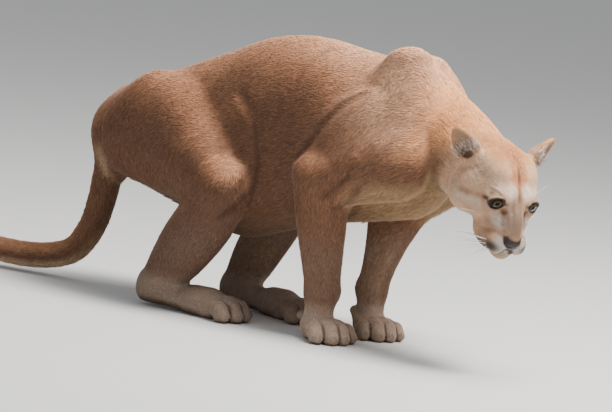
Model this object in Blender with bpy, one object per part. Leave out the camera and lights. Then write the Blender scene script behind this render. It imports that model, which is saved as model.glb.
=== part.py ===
"""A crouching cougar at life size: solids out to the tips of the coat."""
import math

import bmesh
import bpy
import numpy as np
from mathutils import Matrix, Vector

for ob in list(bpy.data.objects):
    bpy.data.objects.remove(ob)

# ---------------------------------------------------------------- shape kit
def vec(*a):
    return np.array(a, dtype=float)


def unit(v):
    v = np.asarray(v, float)
    return v / max(float(np.linalg.norm(v)), 1e-12)


def turn(yaw, pitch, roll):
    """Rotation: roll about the long axis, then nose-down pitch, then yaw."""
    cy, sy, cp, sp, cr, sr = (math.cos(yaw), math.sin(yaw), math.cos(pitch),
                              math.sin(pitch), math.cos(roll), math.sin(roll))
    rz = np.array([[cy, -sy, 0], [sy, cy, 0], [0, 0, 1.0]])
    ry = np.array([[cp, 0, sp], [0, 1.0, 0], [-sp, 0, cp]])
    rx = np.array([[1.0, 0, 0], [0, cr, -sr], [0, sr, cr]])
    return rz @ ry @ rx


def spline(rows, step):
    """Catmull-Rom through rows (x, y, z, then any widths), sampled about every step."""
    k = np.array(rows, float)
    k = np.vstack([2 * k[0] - k[1], k, 2 * k[-1] - k[-2]])
    out = []
    for i in range(1, len(k) - 2):
        a, b, c, d = k[i - 1], k[i], k[i + 1], k[i + 2]
        n = max(2, int(np.linalg.norm(c[:3] - b[:3]) / step) + 1)
        t = (np.arange(n) / n)[:, None]
        out.append(0.5 * (2 * b + (c - a) * t + (2 * a - 5 * b + 4 * c - d) * t * t
                          + (3 * b - a - 3 * c + d) * t ** 3))
    out.append(k[-2][None, :])
    return np.vstack(out)


class Tube:
    """A limb or body length: oval sections along a smooth line.
    rows: x, y, z, half side, half towards `up`, half away from `up`."""

    def __init__(self, rows, up, cap=0.9, power=2.0, step=0.006):
        s = spline(rows, step)
        self.c = s[:, :3]
        self.r = s[:, 3:6]
        self.power = power
        t = np.gradient(self.c, axis=0)
        t /= np.linalg.norm(t, axis=1)[:, None]
        up = np.asarray(up, float)
        u = up[None, :] - (t @ up)[:, None] * t if up.ndim == 1 else up
        u /= np.linalg.norm(u, axis=1)[:, None]
        self.t, self.u, self.b = t, u, np.cross(u, t)
        self.cap = (cap * self.r[0].mean(), cap * self.r[-1].mean())
        m = float(self.r.max()) * 1.02
        self.lo = self.c.min(0) - m
        self.hi = self.c.max(0) + m

    def __call__(self, p):
        out = np.empty(len(p))
        c, n = self.c, len(self.c)
        c2 = (c * c).sum(1)
        for a in range(0, len(p), 60000):
            q = p[a:a + 60000]
            i = np.argmin(c2[None, :] - 2 * q @ c.T, axis=1)
            along = ((q - c[i]) * self.t[i]).sum(1)
            j = np.clip(i + np.where(along > 0, 1, -1), 0, n - 1)
            gap = np.abs(((c[j] - c[i]) * self.t[i]).sum(1)) + 1e-9
            f = np.clip(np.abs(along) / gap, 0, 1) * (j != i)
            f = f[:, None]
            cc = c[i] * (1 - f) + c[j] * f
            rr = self.r[i] * (1 - f) + self.r[j] * f
            t = self.t[i] * (1 - f) + self.t[j] * f
            t /= np.linalg.norm(t, axis=1)[:, None]
            u = self.u[i] * (1 - f) + self.u[j] * f
            u -= (u * t).sum(1)[:, None] * t
            u /= np.linalg.norm(u, axis=1)[:, None]
            b = np.cross(u, t)
            d = q - cc
            x = (d * b).sum(1)
            y = (d * u).sum(1)
            z = (d * t).sum(1)
            rx = rr[:, 0]
            ry = np.where(y > 0, rr[:, 1], rr[:, 2])
            end = np.where(i == 0, self.cap[0], np.where(i == n - 1, self.cap[1], 0.02))
            on_end = ((i == 0) & (z < 0)) | ((i == n - 1) & (z > 0))
            z = np.where(on_end, z, 0.0)
            pw = self.power
            if pw == 2.0:
                rho = np.sqrt((x / rx) ** 2 + (y / ry) ** 2 + (z / end) ** 2) + 1e-9
                g = np.sqrt((x / rx ** 2) ** 2 + (y / ry ** 2) ** 2 + (z / end ** 2) ** 2) / rho
            else:
                ax, ay = np.abs(x / rx) + 1e-9, np.abs(y / ry) + 1e-9
                az = np.abs(z / end)
                flat = (ax ** pw + ay ** pw)
                rho = (flat + az ** pw) ** (1 / pw)
                g = np.sqrt((ax ** (pw - 1) / rx) ** 2 + (ay ** (pw - 1) / ry) ** 2
                            + (az ** (pw - 1) / end) ** 2) / rho ** (pw - 1)
            g = np.maximum(g, 1 / np.maximum(rx, ry))
            out[a:a + 60000] = (rho - 1) / g
        return out


class Stack:
    """The trunk: upright oval sections one after another along X.
    rows: x, y, z, half width, half up, half down."""

    def __init__(self, rows, cap=0.06, power=2.0):
        s = spline(rows, 0.01)
        self.s, self.cap, self.power = s, cap, power
        m = float(s[:, 3:].max())
        self.lo = s[:, :3].min(0) - (cap, m, m)
        self.hi = s[:, :3].max(0) + (cap, m, m)

    def rho(self, p, x):
        s = self.s
        xc = np.clip(x, s[0, 0], s[-1, 0])
        c = [np.interp(xc, s[:, 0], s[:, j]) for j in range(1, 6)]
        y = (p[:, 1] - c[0]) / c[2]
        dz = p[:, 2] - c[1]
        z = dz / np.where(dz > 0, c[3], c[4])
        e = (x - xc) / self.cap
        w = self.power
        r = (np.abs(y) ** w + np.abs(z) ** w + np.abs(e) ** w) ** (1 / w) + 1e-9
        return r, c, y, z

    def __call__(self, p):
        r, c, y, z = self.rho(p, p[:, 0])
        h = 0.004
        gx = (self.rho(p, p[:, 0] + h)[0] - self.rho(p, p[:, 0] - h)[0]) / (2 * h)
        w = self.power
        hz = np.where(z > 0, c[3], c[4])
        gy = (np.abs(y) / r) ** (w - 1) / c[2]
        gz = (np.abs(z) / r) ** (w - 1) / hz
        g = np.sqrt(gx * gx + gy * gy + gz * gz)
        return (r - 1) / np.maximum(g, 1 / np.maximum(c[2], hz))


class Ball:
    """An oval mass: centre, three half-sizes, and its axes as columns."""

    def __init__(self, c, r, m=None):
        self.c, self.r = np.asarray(c, float), np.asarray(r, float)
        self.m = np.eye(3) if m is None else np.asarray(m, float)
        e = np.sqrt(((self.m * self.r[None, :]) ** 2).sum(1))
        self.lo, self.hi = self.c - e, self.c + e

    def __call__(self, p):
        q = (p - self.c) @ self.m
        rho = np.sqrt(((q / self.r) ** 2).sum(1)) + 1e-9
        g = np.sqrt(((q / self.r ** 2) ** 2).sum(1)) / rho
        return (rho - 1) / np.maximum(g, 1 / self.r.max())


class Rod:
    """A rounded, tapering rod from a to b."""

    def __init__(self, a, b, ra, rb):
        self.a, self.b = np.asarray(a, float), np.asarray(b, float)
        self.ra, self.rb = ra, rb
        m = max(ra, rb)
        self.lo = np.minimum(self.a, self.b) - m
        self.hi = np.maximum(self.a, self.b) + m

    def __call__(self, p):
        ab = self.b - self.a
        t = np.clip(((p - self.a) @ ab) / max(float(ab @ ab), 1e-12), 0, 1)
        d = p - self.a - t[:, None] * ab
        return np.sqrt((d * d).sum(1)) - (self.ra + (self.rb - self.ra) * t)


class Line:
    """Distance from a smooth line, for folds and seams."""

    def __init__(self, rows, step=0.004):
        self.c = spline(rows, step)[:, :3]
        self.lo, self.hi = self.c.min(0), self.c.max(0)

    def __call__(self, p):
        out = np.empty(len(p))
        c = self.c
        ab = c[1:] - c[:-1]
        for a in range(0, len(p), 40000):
            q = p[a:a + 40000]
            c2 = (c * c).sum(1)
            i = np.clip(np.argmin(c2[None, :] - 2 * q @ c.T, axis=1), 0, len(c) - 1)
            best = np.full(len(q), 1e9)
            for s in (-1, 0):
                k = np.clip(i + s, 0, len(ab) - 1)
                t = np.clip(((q - c[k]) * ab[k]).sum(1) / ((ab[k] ** 2).sum(1) + 1e-12), 0, 1)
                d = q - c[k] - t[:, None] * ab[k]
                best = np.minimum(best, np.sqrt((d * d).sum(1)))
            out[a:a + 40000] = best
        return out


class Form:
    """Masses joined softly (add), taken away (cut), and fine relief (mark)."""

    def __init__(self):
        self.ops = []

    def add(self, shape, k=0.02):
        self.ops.append(("add", shape, k, 0.0))

    def cut(self, shape, k=0.005):
        self.ops.append(("cut", shape, k, 0.0))

    def mark(self, shape, height, width):
        self.ops.append(("mark", shape, width, height))

    def value(self, p, reach=0.03):
        d = np.full(len(p), 9.0)
        for kind, s, k, h in self.ops:
            m = k + reach if kind != "mark" else 2.6 * k
            inside = np.all((p > s.lo - m) & (p < s.hi + m), axis=1)
            i = np.nonzero(inside)[0]
            if len(i) == 0:
                continue
            v = s(p[i])
            w = d[i]
            if kind == "add":
                t = np.clip(0.5 + 0.5 * (w - v) / k, 0, 1)
                d[i] = w * (1 - t) + v * t - k * t * (1 - t)
            elif kind == "cut":
                t = np.clip(0.5 + 0.5 * (w + v) / k, 0, 1)
                d[i] = w * t - v * (1 - t) + k * t * (1 - t)
            else:
                d[i] = w - h * np.exp(-(v / k) ** 2)
        return d

    def slope(self, p, e=0.0006):
        """Outward direction and value at p."""
        n = len(p)
        q = np.concatenate([p + (e, 0, 0), p - (e, 0, 0), p + (0, e, 0),
                            p - (0, e, 0), p + (0, 0, e), p - (0, 0, e)])
        v = self.value(q).reshape(6, n)
        g = np.stack([v[0] - v[1], v[2] - v[3], v[4] - v[5]], 1) / (2 * e)
        return g


def net(form, lo, hi, h, level=0.0, coarse=4):
    """Closed quad mesh of the surface value = level, by surface nets."""
    lo = np.asarray(lo, float)
    n = np.ceil((np.asarray(hi, float) - lo) / (h * coarse)).astype(int) * coarse + 1
    nc = (n - 1) // coarse + 1
    hc = h * coarse
    g = [lo[a] + hc * np.arange(nc[a]) for a in range(3)]
    pc = np.stack(np.meshgrid(*g, indexing="ij"), -1).reshape(-1, 3)
    vc = form.value(pc, reach=hc * 2.2).reshape(nc) - level
    near = np.abs(vc) < hc * 1.9
    cell = np.zeros(nc - 1, bool)
    neg = np.zeros(nc - 1, bool)
    for i in (0, 1):
        for j in (0, 1):
            for k in (0, 1):
                s = (slice(i, nc[0] - 1 + i), slice(j, nc[1] - 1 + j), slice(k, nc[2] - 1 + k))
                cell |= near[s]
                neg |= vc[s] < 0
    d = np.full(n, 9.0, np.float32)
    big = np.repeat(np.repeat(np.repeat(neg & ~cell, coarse, 0), coarse, 1), coarse, 2)
    d[:-1, :-1, :-1][big] = -9.0
    need = np.zeros(n, bool)
    up = np.repeat(np.repeat(np.repeat(cell, coarse, 0), coarse, 1), coarse, 2)
    for i in (0, 1):
        for j in (0, 1):
            for k in (0, 1):
                need[i:n[0] - 1 + i, j:n[1] - 1 + j, k:n[2] - 1 + k] |= up
    idx = np.argwhere(need)
    for a in range(0, len(idx), 400000):
        q = idx[a:a + 400000]
        d[q[:, 0], q[:, 1], q[:, 2]] = form.value(lo + q * h) - level
    ins = d < 0
    m = n - 1
    anyc = np.zeros(m, bool)
    allc = np.ones(m, bool)
    for i in (0, 1):
        for j in (0, 1):
            for k in (0, 1):
                s = ins[i:m[0] + i, j:m[1] + j, k:m[2] + k]
                anyc |= s
                allc &= s
    act = np.argwhere(anyc & ~allc)
    flat = (act[:, 0] * m[1] + act[:, 1]) * m[2] + act[:, 2]
    acc = np.zeros((len(act), 3))
    cnt = np.zeros(len(act))
    cor = [(i, j, k) for i in (0, 1) for j in (0, 1) for k in (0, 1)]
    for a in range(8):
        for b in range(a + 1, 8):
            ca, cb = np.array(cor[a]), np.array(cor[b])
            if np.abs(ca - cb).sum() != 1:
                continue
            va = d[act[:, 0] + ca[0], act[:, 1] + ca[1], act[:, 2] + ca[2]].astype(float)
            vb = d[act[:, 0] + cb[0], act[:, 1] + cb[1], act[:, 2] + cb[2]].astype(float)
            x = (va < 0) != (vb < 0)
            t = np.where(x, va / np.where(x, va - vb, 1), 0)
            acc += np.where(x[:, None], ca[None, :] + t[:, None] * (cb - ca)[None, :], 0)
            cnt += x
    verts = lo + (act + acc / cnt[:, None]) * h
    quads = []
    for ax in range(3):
        o = [a for a in range(3) if a != ax]
        s0 = [slice(None)] * 3
        s1 = [slice(None)] * 3
        s0[ax], s1[ax] = slice(0, -1), slice(1, None)
        diff = ins[tuple(s0)] != ins[tuple(s1)]
        e = np.argwhere(diff)
        e = e[(e[:, o[0]] > 0) & (e[:, o[1]] > 0) & (e[:, o[0]] < m[o[0]]) & (e[:, o[1]] < m[o[1]])]
        first = ins[e[:, 0], e[:, 1], e[:, 2]]
        ring = []
        for da, db in ((0, 0), (-1, 0), (-1, -1), (0, -1)):
            c = e.copy()
            c[:, o[0]] += da
            c[:, o[1]] += db
            ring.append(np.searchsorted(flat, (c[:, 0] * m[1] + c[:, 1]) * m[2] + c[:, 2]))
        q = np.stack(ring, 1)
        flip = first if ax != 1 else ~first
        q[~flip] = q[~flip][:, ::-1]
        quads.append(q)
    return verts, np.vstack(quads)


# ------------------------------------------------------------ the animal
# Sizes in metres.  +X is the way the body faces, +Y its left, +Z up.
HEAD_AT = vec(0.454, -0.100, 0.336)
HEAD_YAW, HEAD_PITCH, HEAD_ROLL = math.radians(-34.9), math.radians(31.9), math.radians(-3.3)
HEAD_M = turn(HEAD_YAW, HEAD_PITCH, HEAD_ROLL)
EYE = vec(0.0560, 0.0350, 0.0225)       # eyeball centre in the head's own axes
EYE_R = 0.0142


def hd(x, y, z):
    """A point of the head in millimetres, in the head's own axes, to the world."""
    return HEAD_AT + HEAD_M @ (vec(x, y, z) / 1000.0)


def on_skin(f, p):
    """Move points along the slope of the form on to its surface."""
    p = p.copy()
    for _ in range(6):
        g = f.slope(p)
        v = f.value(p)
        p -= g * np.clip(v / np.maximum((g * g).sum(1), 1e-6), -0.01, 0.01)[:, None]
    return p


def head_form(f):
    def ball(x, y, z, a, b, c, k, ry=0.0, rz=0.0, rx=0.0, cut=False):
        for s in ((1, -1) if abs(y) > 0.01 or rz or rx else (1,)):
            m = HEAD_M @ turn(math.radians(rz) * s, math.radians(ry), math.radians(rx) * s)
            b_ = Ball(hd(x, y * s, z), vec(a, b, c) / 1000.0, m)
            (f.cut if cut else f.add)(b_, k / 1000.0)

    def line(rows, h, w):
        for s in (1, -1):
            r = on_skin(f, np.array([hd(x, y * s, z) for x, y, z in rows]))
            f.mark(Line(r, 0.003), h / 1000.0, w / 1000.0)
            if all(abs(y) < 0.01 for _, y, _ in rows):
                break

    # braincase, forehead, cheeks
    ball(-30, 0, 24, 72, 60, 54, 20)
    ball(8, 0, 26, 56, 53, 46, 20, ry=10)
    ball(-2, 23, 52, 44, 30, 26, 18, rz=-6)           # crown of the forehead
    ball(18, 38, 14, 34, 20, 26, 18, rz=-10)          # temple
    ball(-14, 48, -10, 42, 33, 46, 20, rz=-6)         # cheek
    ball(-36, 38, -28, 36, 32, 38, 20)                # jaw muscle
    ball(18, 38, -16, 34, 26, 24, 18, rz=-14)         # cheek bone
    ball(24, 0, -30, 54, 38, 34, 20)                  # under the face
    ball(60, 25, -10, 25, 17, 22, 14, rz=-6)          # below the eye
    ball(51, 25, 39, 21, 15, 10, 12, ry=22, rz=-8)    # brow
    ball(42, 37, 9, 23, 17, 19, 14)                   # rim of the orbit
    ball(48, 0, 34, 26, 26, 18, 14, ry=24)            # between the brows
    # bridge and muzzle
    ball(78, 0, 8, 38, 17, 17, 14, ry=38)
    ball(92, 0, -12, 28, 16, 15, 12, ry=34)
    ball(82, 0, -30, 32, 31, 24, 12, ry=14)
    ball(89, 21, -42, 25, 20.5, 20.5, 8, ry=16, rz=-10)   # whisker pads
    ball(79, 0, -60, 27, 24, 17, 10, ry=14)           # chin
    ball(86, 0, -64.5, 17, 16, 11, 8)
    ball(56, 28, -47, 31, 20, 21, 12, ry=12, rz=-12)  # lip corner to cheek
    ball(73, 31, -50, 18, 13, 14, 8)                  # back of the pads
    ball(110.5, 0, -28.5, 9.5, 16.5, 12, 5, ry=24)          # nose
    # ears
    for s in (1, -1):
        base = vec(-40, 63 * s, 47)
        tip = vec(-61, 103 * s, 84)
        up = unit(tip - base)
        front = unit(vec(1, 1.15 * s, 0.25))
        front = unit(front - up * (front @ up))
        rows = []
        for t, w, d in ((-0.30, 24, 19), (0.0, 24.5, 17), (0.30, 24.5, 15), (0.6, 22.0, 11),
                        (0.84, 16.0, 7.0), (0.96, 10.5, 5.0)):
            c = base + (tip - base) * t - front * (2.0 * t)
            rows.append([*hd(*c), w / 1000.0, d / 1000.0, d / 1000.0])
        f.add(Tube(rows, HEAD_M @ front, cap=0.7, power=2.0, step=0.004), 0.010)
        cup = []
        for t, w, d in ((0.12, 11.0, 10), (0.32, 15.5, 11.5), (0.6, 15.5, 10.0), (0.82, 11.0, 7.0),
                        (0.95, 6.0, 4.0)):
            c = base + (tip - base) * t + front * (10.5 - 3.0 * t)
            cup.append([*hd(*c), w / 1000.0, d / 1000.0, d / 1000.0])
        f.cut(Tube(cup, HEAD_M @ front, cap=0.7, step=0.004), 0.004)
    # lids: a rim round each eyeball, opened between the corners
    e = EYE * 1000
    for s in (1, -1):
        f.add(Ball(hd(e[0] + 0.6, e[1] * s, e[2]), vec(16.4, 16.4, 15.4) / 1000, HEAD_M), 0.008)
        look = turn(math.radians(20 * s), math.radians(-8), math.radians(-30 * s))
        at = vec(e[0], e[1] * s, e[2]) + look @ vec(15.5, 0, 0)
        f.cut(Ball(hd(*at), vec(10.5, 14.6, 10.0) / 1000, HEAD_M @ look), 0.0025)
        f.cut(Ball(hd(e[0] + 15.5, (e[1] - 12.5) * s, e[2] - 8.0), vec(6, 4.5, 3.6) / 1000, HEAD_M), 0.004)
    line([(112, 3.5, -44), (105, 13, -52), (93, 27, -57), (79, 36, -60), (64, 41, -60)], -3.6, 2.8)
    line([(119, 0, -37), (116, 0, -44)], -2.2, 1.8)
    line([(117, 7, -30), (113, 12.5, -30.5), (109, 15, -27)], -3.4, 2.4)
    line([(-54, 62, 22), (-60, 66, -8), (-56, 60, -36), (-40, 44, -62)], -5.0, 10.0)
    return f


def leg_tube(f, rows, up, k, power=2.2, cap=0.9):
    f.add(Tube(rows, up, cap=cap, power=power), k)


def paw(f, wrist, at, yaw, scale, wide, hind=False):
    """A foot: at = middle of the ball of the foot on the floor."""
    c, s_ = math.cos(yaw), math.sin(yaw)
    fw, lf = vec(c, s_, 0), vec(-s_, c, 0)
    up = vec(0, 0, 1)

    def w(x, y, z):
        return at + (fw * x + lf * y + up * z) * scale

    m = np.stack([fw, lf, up], 1)
    # back of the foot, palm pad
    f.add(Rod(wrist, w(-0.012, 0, 0.030), 0.030 * scale, 0.029 * scale), 0.016)
    f.add(Ball(w(0.0, 0, 0.023), vec(0.040, wide * 0.92, 0.024) * scale, m), 0.014)
    for y, x, r, out in ((-0.75, 0.012, 0.0165, -0.012), (-0.27, 0.024, 0.0180, -0.003),
                         (0.27, 0.024, 0.0180, 0.003), (0.75, 0.012, 0.0165, 0.012)):
        yy = y * wide
        knuckle = w(x + 0.004, yy, 0.033 - 0.006 * abs(y))
        mid = w(x + 0.024, yy + out * 0.7, 0.026 - 0.003 * abs(y))
        tip = w(x + 0.037, yy + out, 0.0145)
        f.add(Rod(w(x - 0.028, yy * 0.72, 0.030), knuckle, 0.015 * scale, (r - 0.001) * scale), 0.006)
        f.add(Rod(knuckle, mid, (r - 0.001) * scale, r * 1.02 * scale), 0.005)
        f.add(Rod(mid, tip, r * 1.02 * scale, r * 0.84 * scale), 0.004)
        f.add(Ball(w(x + 0.028, yy + out * 0.9, 0.009), vec(0.0135, 0.0115, 0.010) * scale, m), 0.004)
    f.add(Ball(w(-0.008, 0, 0.010), vec(0.026, 0.028, 0.0125) * scale, m), 0.006)
    f.add(Ball(w(0.018, 0, 0.013), vec(0.040, wide * 0.98, 0.0150) * scale, m), 0.010)   # skin between the toes
    if not hind:
        inner = -1.0 if at[1] > 0 else 1.0
        f.add(Rod(w(-0.030, inner * wide * 0.74, 0.050), w(-0.014, inner * wide * 0.88, 0.040),
                  0.011 * scale, 0.008 * scale), 0.007)
        f.add(Ball(w(-0.048, -inner * 0.012, 0.040), vec(0.012, 0.011, 0.011) * scale, m), 0.008)


def fore_leg(f, s, top, joint, elbow, wrist, ball, yaw, size, foot, arm):
    out = vec(0, s, 0)
    # shoulder blade and its muscles
    rows = []
    for t, w, d in ((0.0, 0.034, 0.052), (0.3, 0.038, 0.066), (0.65, 0.043, 0.068), (1.0, 0.048, 0.062)):
        c = top + (joint - top) * t
        rows.append([*c, w, d, d])
    f.add(Tube(rows, vec(1, 0, 0), cap=0.8), 0.035)
    f.add(Ball(joint + (0.004, s * 0.002, 0.002), (0.058, 0.046, 0.062), turn(0, 0.3, 0)), 0.030)
    # upper arm with the big muscle behind it
    a = joint + (elbow - joint) * 0.12
    f.add(Tube([[*a, 0.046, 0.058, 0.058], [*(joint * 0.5 + elbow * 0.5), 0.048, 0.060, 0.060],
                [*elbow, 0.042, 0.052, 0.052]], vec(0.5, 0, -0.8), cap=0.8), 0.030)
    mid = top * 0.30 + elbow * 0.62 + joint * 0.08 + vec(-0.012, s * 0.006, 0)
    d = unit(elbow - top)
    f.add(Ball(mid, vec(0.108, 0.040, 0.058) * size, np.stack([d, unit(np.cross(vec(0, 1, 0), d)) * 0 + out, unit(np.cross(d, out))], 1)), 0.028)
    f.add(Ball(elbow + (-0.018, 0, 0.010), vec(0.030, 0.028, 0.032) * size), 0.022)
    # forearm
    ax = wrist - elbow
    rows = []
    for t, (w, fr, bk) in zip((0.0, 0.22, 0.45, 0.70, 0.90, 1.0), arm):
        c = elbow + ax * t
        rows.append([*c, w, fr, bk])
    f.add(Tube(rows, vec(1, 0, 0), power=2.2), 0.022)
    paw(f, wrist, ball, yaw, foot, 0.036)


def hind_leg(f, s, hip, knee, shank, hock, ball, yaw, flat):
    out = vec(0, s, 0)
    th = knee - hip
    n = unit(np.cross(out, th))
    n = n if n[2] > 0 else -n
    rows = []
    for t, w, fr, bk in ((-0.10, 0.050, 0.085, 0.090), (0.2, 0.060, 0.100, 0.105), (0.5, 0.061, 0.088, 0.092),
                         (0.78, 0.054, 0.064, 0.066), (1.0, 0.045, 0.046, 0.048)):
        c = hip + th * t
        rows.append([*c, w, fr, bk])
    f.add(Tube(rows, n, cap=0.8), 0.035)
    sh = vec(*shank[-1][:3]) - knee
    n = unit(np.cross(sh, out))
    n = n if n[0] > 0 else -n
    f.add(Tube([list(r) for r in shank], n, cap=0.9), 0.028)
    # foot behind the toes
    mt = ball - hock
    rows = []
    for t, w, up_, dn in ((-0.04, 0.027, 0.030, 0.029), (0.25, 0.029, 0.025, 0.027), (0.6, 0.031, 0.022, 0.025),
                          (0.95, 0.034, 0.022, 0.022)):
        c = hock + mt * t + vec(0, 0, 0.024) * t
        rows.append([*c, w, up_, dn])
    f.add(Tube(rows, vec(0, 0, 1) if flat else vec(0.6, 0, 1), cap=0.8), 0.016)
    paw(f, hock * 0.25 + (ball + vec(0, 0, 0.026)) * 0.75, ball, yaw, 1.0, 0.034, hind=True)


def body_form():
    f = Form()
    # trunk: x, y, top, bottom, half width, height of the widest part
    trunk = []
    for x, y, top, low, w, part in (
            (-0.430, 0.000, 0.362, 0.275, 0.045, 0.50), (-0.385, 0.000, 0.405, 0.240, 0.072, 0.48),
            (-0.325, 0.000, 0.446, 0.208, 0.096, 0.46), (-0.255, 0.000, 0.480, 0.185, 0.108, 0.45),
            (-0.185, 0.000, 0.511, 0.163, 0.113, 0.45), (-0.115, 0.000, 0.542, 0.152, 0.118, 0.45),
            (-0.045, 0.000, 0.557, 0.173, 0.122, 0.46), (0.025, 0.000, 0.557, 0.196, 0.122, 0.47),
            (0.095, 0.000, 0.547, 0.214, 0.117, 0.48), (0.165, 0.000, 0.541, 0.229, 0.108, 0.48),
            (0.230, -0.004, 0.534, 0.254, 0.092, 0.50)):
        z = low + (top - low) * part
        trunk.append([x, y, z, w, top - z, z - low])
    f.add(Stack(trunk, cap=0.05, power=2.1), 0.02)
    neck = [(0.205, 0.000, 0.410, 0.090, 0.118, 0.120), (0.262, -0.012, 0.405, 0.086, 0.104, 0.110),
            (0.316, -0.032, 0.394, 0.080, 0.092, 0.094), (0.366, -0.056, 0.379, 0.074, 0.082, 0.080),
            (0.412, -0.080, 0.361, 0.066, 0.072, 0.068)]
    f.add(Tube(neck, vec(0, 0, 1), cap=0.6, power=2.0, step=0.004), 0.045)
    # rump, brisket
    f.add(Ball((-0.380, 0.0, 0.322), (0.085, 0.085, 0.085), turn(0, -0.5, 0)), 0.06)
    f.add(Ball((0.215, -0.005, 0.322), (0.080, 0.075, 0.070)), 0.04)
    # tail
    tail = [(-0.400, 0.000, 0.345, 0.042), (-0.436, 0.002, 0.300, 0.037), (-0.455, 0.006, 0.240, 0.033),
            (-0.466, 0.008, 0.175, 0.031), (-0.484, 0.008, 0.112, 0.0298), (-0.522, 0.004, 0.060, 0.0288),
            (-0.592, -0.006, 0.039, 0.0280), (-0.680, -0.018, 0.038, 0.0275), (-0.765, -0.026, 0.048, 0.0270),
            (-0.830, -0.030, 0.073, 0.0245), (-0.864, -0.030, 0.100, 0.019)]
    f.add(Tube([[x, y, z, r, r, r] for x, y, z, r in tail], vec(0, 1, 0), cap=1.0, step=0.01), 0.05)
    # legs
    fore_leg(f, -1, vec(0.214, -0.050, 0.534), vec(0.238, -0.100, 0.352), vec(0.090, -0.108, 0.302),
             vec(0.107, -0.089, 0.095), vec(0.113, -0.092, 0.0), math.radians(-26), 1.0, 0.98,
             ((0.044, 0.056, 0.058), (0.045, 0.055, 0.057), (0.041, 0.049, 0.052), (0.037, 0.041, 0.043),
              (0.035, 0.036, 0.037), (0.035, 0.035, 0.036)))
    fore_leg(f, 1, vec(0.198, 0.048, 0.512), vec(0.258, 0.100, 0.342), vec(0.150, 0.094, 0.255),
             vec(0.131, 0.058, 0.092), vec(0.144, 0.048, 0.0), math.radians(-34), 0.96, 0.94,
             ((0.042, 0.058, 0.058), (0.042, 0.054, 0.056), (0.037, 0.042, 0.045), (0.032, 0.034, 0.036),
              (0.030, 0.031, 0.032), (0.030, 0.031, 0.032)))
    hind_leg(f, -1, vec(-0.320, -0.062, 0.358), vec(-0.107, -0.122, 0.258),
             ((-0.107, -0.122, 0.258, 0.045, 0.046, 0.050), (-0.140, -0.115, 0.196, 0.046, 0.058, 0.066),
              (-0.188, -0.104, 0.134, 0.042, 0.058, 0.062), (-0.225, -0.095, 0.088, 0.037, 0.050, 0.052),
              (-0.258, -0.088, 0.050, 0.031, 0.040, 0.038)),
             vec(-0.272, -0.088, 0.034), vec(-0.124, -0.090, 0.0), math.radians(-3), True)
    hind_leg(f, 1, vec(-0.318, 0.060, 0.352), vec(-0.086, 0.118, 0.260),
             ((-0.086, 0.118, 0.260, 0.045, 0.046, 0.050), (-0.114, 0.110, 0.194, 0.044, 0.052, 0.056),
              (-0.142, 0.100, 0.131, 0.040, 0.050, 0.053), (-0.161, 0.091, 0.086, 0.036, 0.045, 0.047),
              (-0.177, 0.084, 0.050, 0.031, 0.038, 0.036)),
             vec(-0.188, 0.082, 0.034), vec(-0.044, 0.054, 0.0), math.radians(-12), True)
    head_form(f)
    return f


# ------------------------------------------------------------ the solids
GAP = 0.0003            # between neighbouring lengths
FLOOR = 0.0018          # the pads are pressed flat by this much
BODY_CELL, HEAD_CELL = 0.0035, 0.002
BODY_FACES, HEAD_FACES = 5400, 2100

HEAD_CUT = -0.080       # where the head is parted from the neck, on the head's own axis


def plain(name, verts, faces):
    me = bpy.data.meshes.new(name)
    me.from_pydata([tuple(map(float, v)) for v in verts], [], [tuple(map(int, q)) for q in faces])
    me.update()
    ob = bpy.data.objects.new(name, me)
    bpy.context.scene.collection.objects.link(ob)
    return ob


def apply_all(ob):
    dg = bpy.context.evaluated_depsgraph_get()
    me = bpy.data.meshes.new_from_object(ob.evaluated_get(dg))
    old = ob.data
    ob.modifiers.clear()
    ob.data = me
    bpy.data.meshes.remove(old)


def largest(ob):
    """Keep the main body and drop any crumbs."""
    bm = bmesh.new()
    bm.from_mesh(ob.data)
    seen, groups = set(), []
    for v in bm.verts:
        if v in seen:
            continue
        stack, grp = [v], []
        seen.add(v)
        while stack:
            a = stack.pop()
            grp.append(a)
            for e in a.link_edges:
                o = e.other_vert(a)
                if o not in seen:
                    seen.add(o)
                    stack.append(o)
        groups.append(grp)
    groups.sort(key=len, reverse=True)
    drop = [v for g in groups[1:] for v in g]
    if drop:
        bmesh.ops.delete(bm, geom=drop, context="VERTS")
    bm.to_mesh(ob.data)
    bm.free()


def thin(ob, faces, keep):
    """Fewer, larger facets; keep(points) is 1 where plain and lower where detail stays."""
    n = len(ob.data.polygons) * 2
    co = np.empty(len(ob.data.vertices) * 3)
    ob.data.vertices.foreach_get("co", co)
    w = keep(co.reshape(-1, 3))
    vg = ob.vertex_groups.new(name="keep")
    for lvl in np.unique(np.round(w, 2)):
        ids = np.nonzero(np.round(w, 2) == lvl)[0]
        vg.add([int(i) for i in ids], float(lvl), "REPLACE")
    tri = ob.modifiers.new("tri", "TRIANGULATE")
    tri.quad_method = "SHORTEST_DIAGONAL"
    m = ob.modifiers.new("thin", "DECIMATE")
    m.ratio = faces / n
    m.vertex_group = "keep"
    m.vertex_group_factor = 1.0
    m.use_collapse_triangulate = True
    apply_all(ob)


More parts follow.
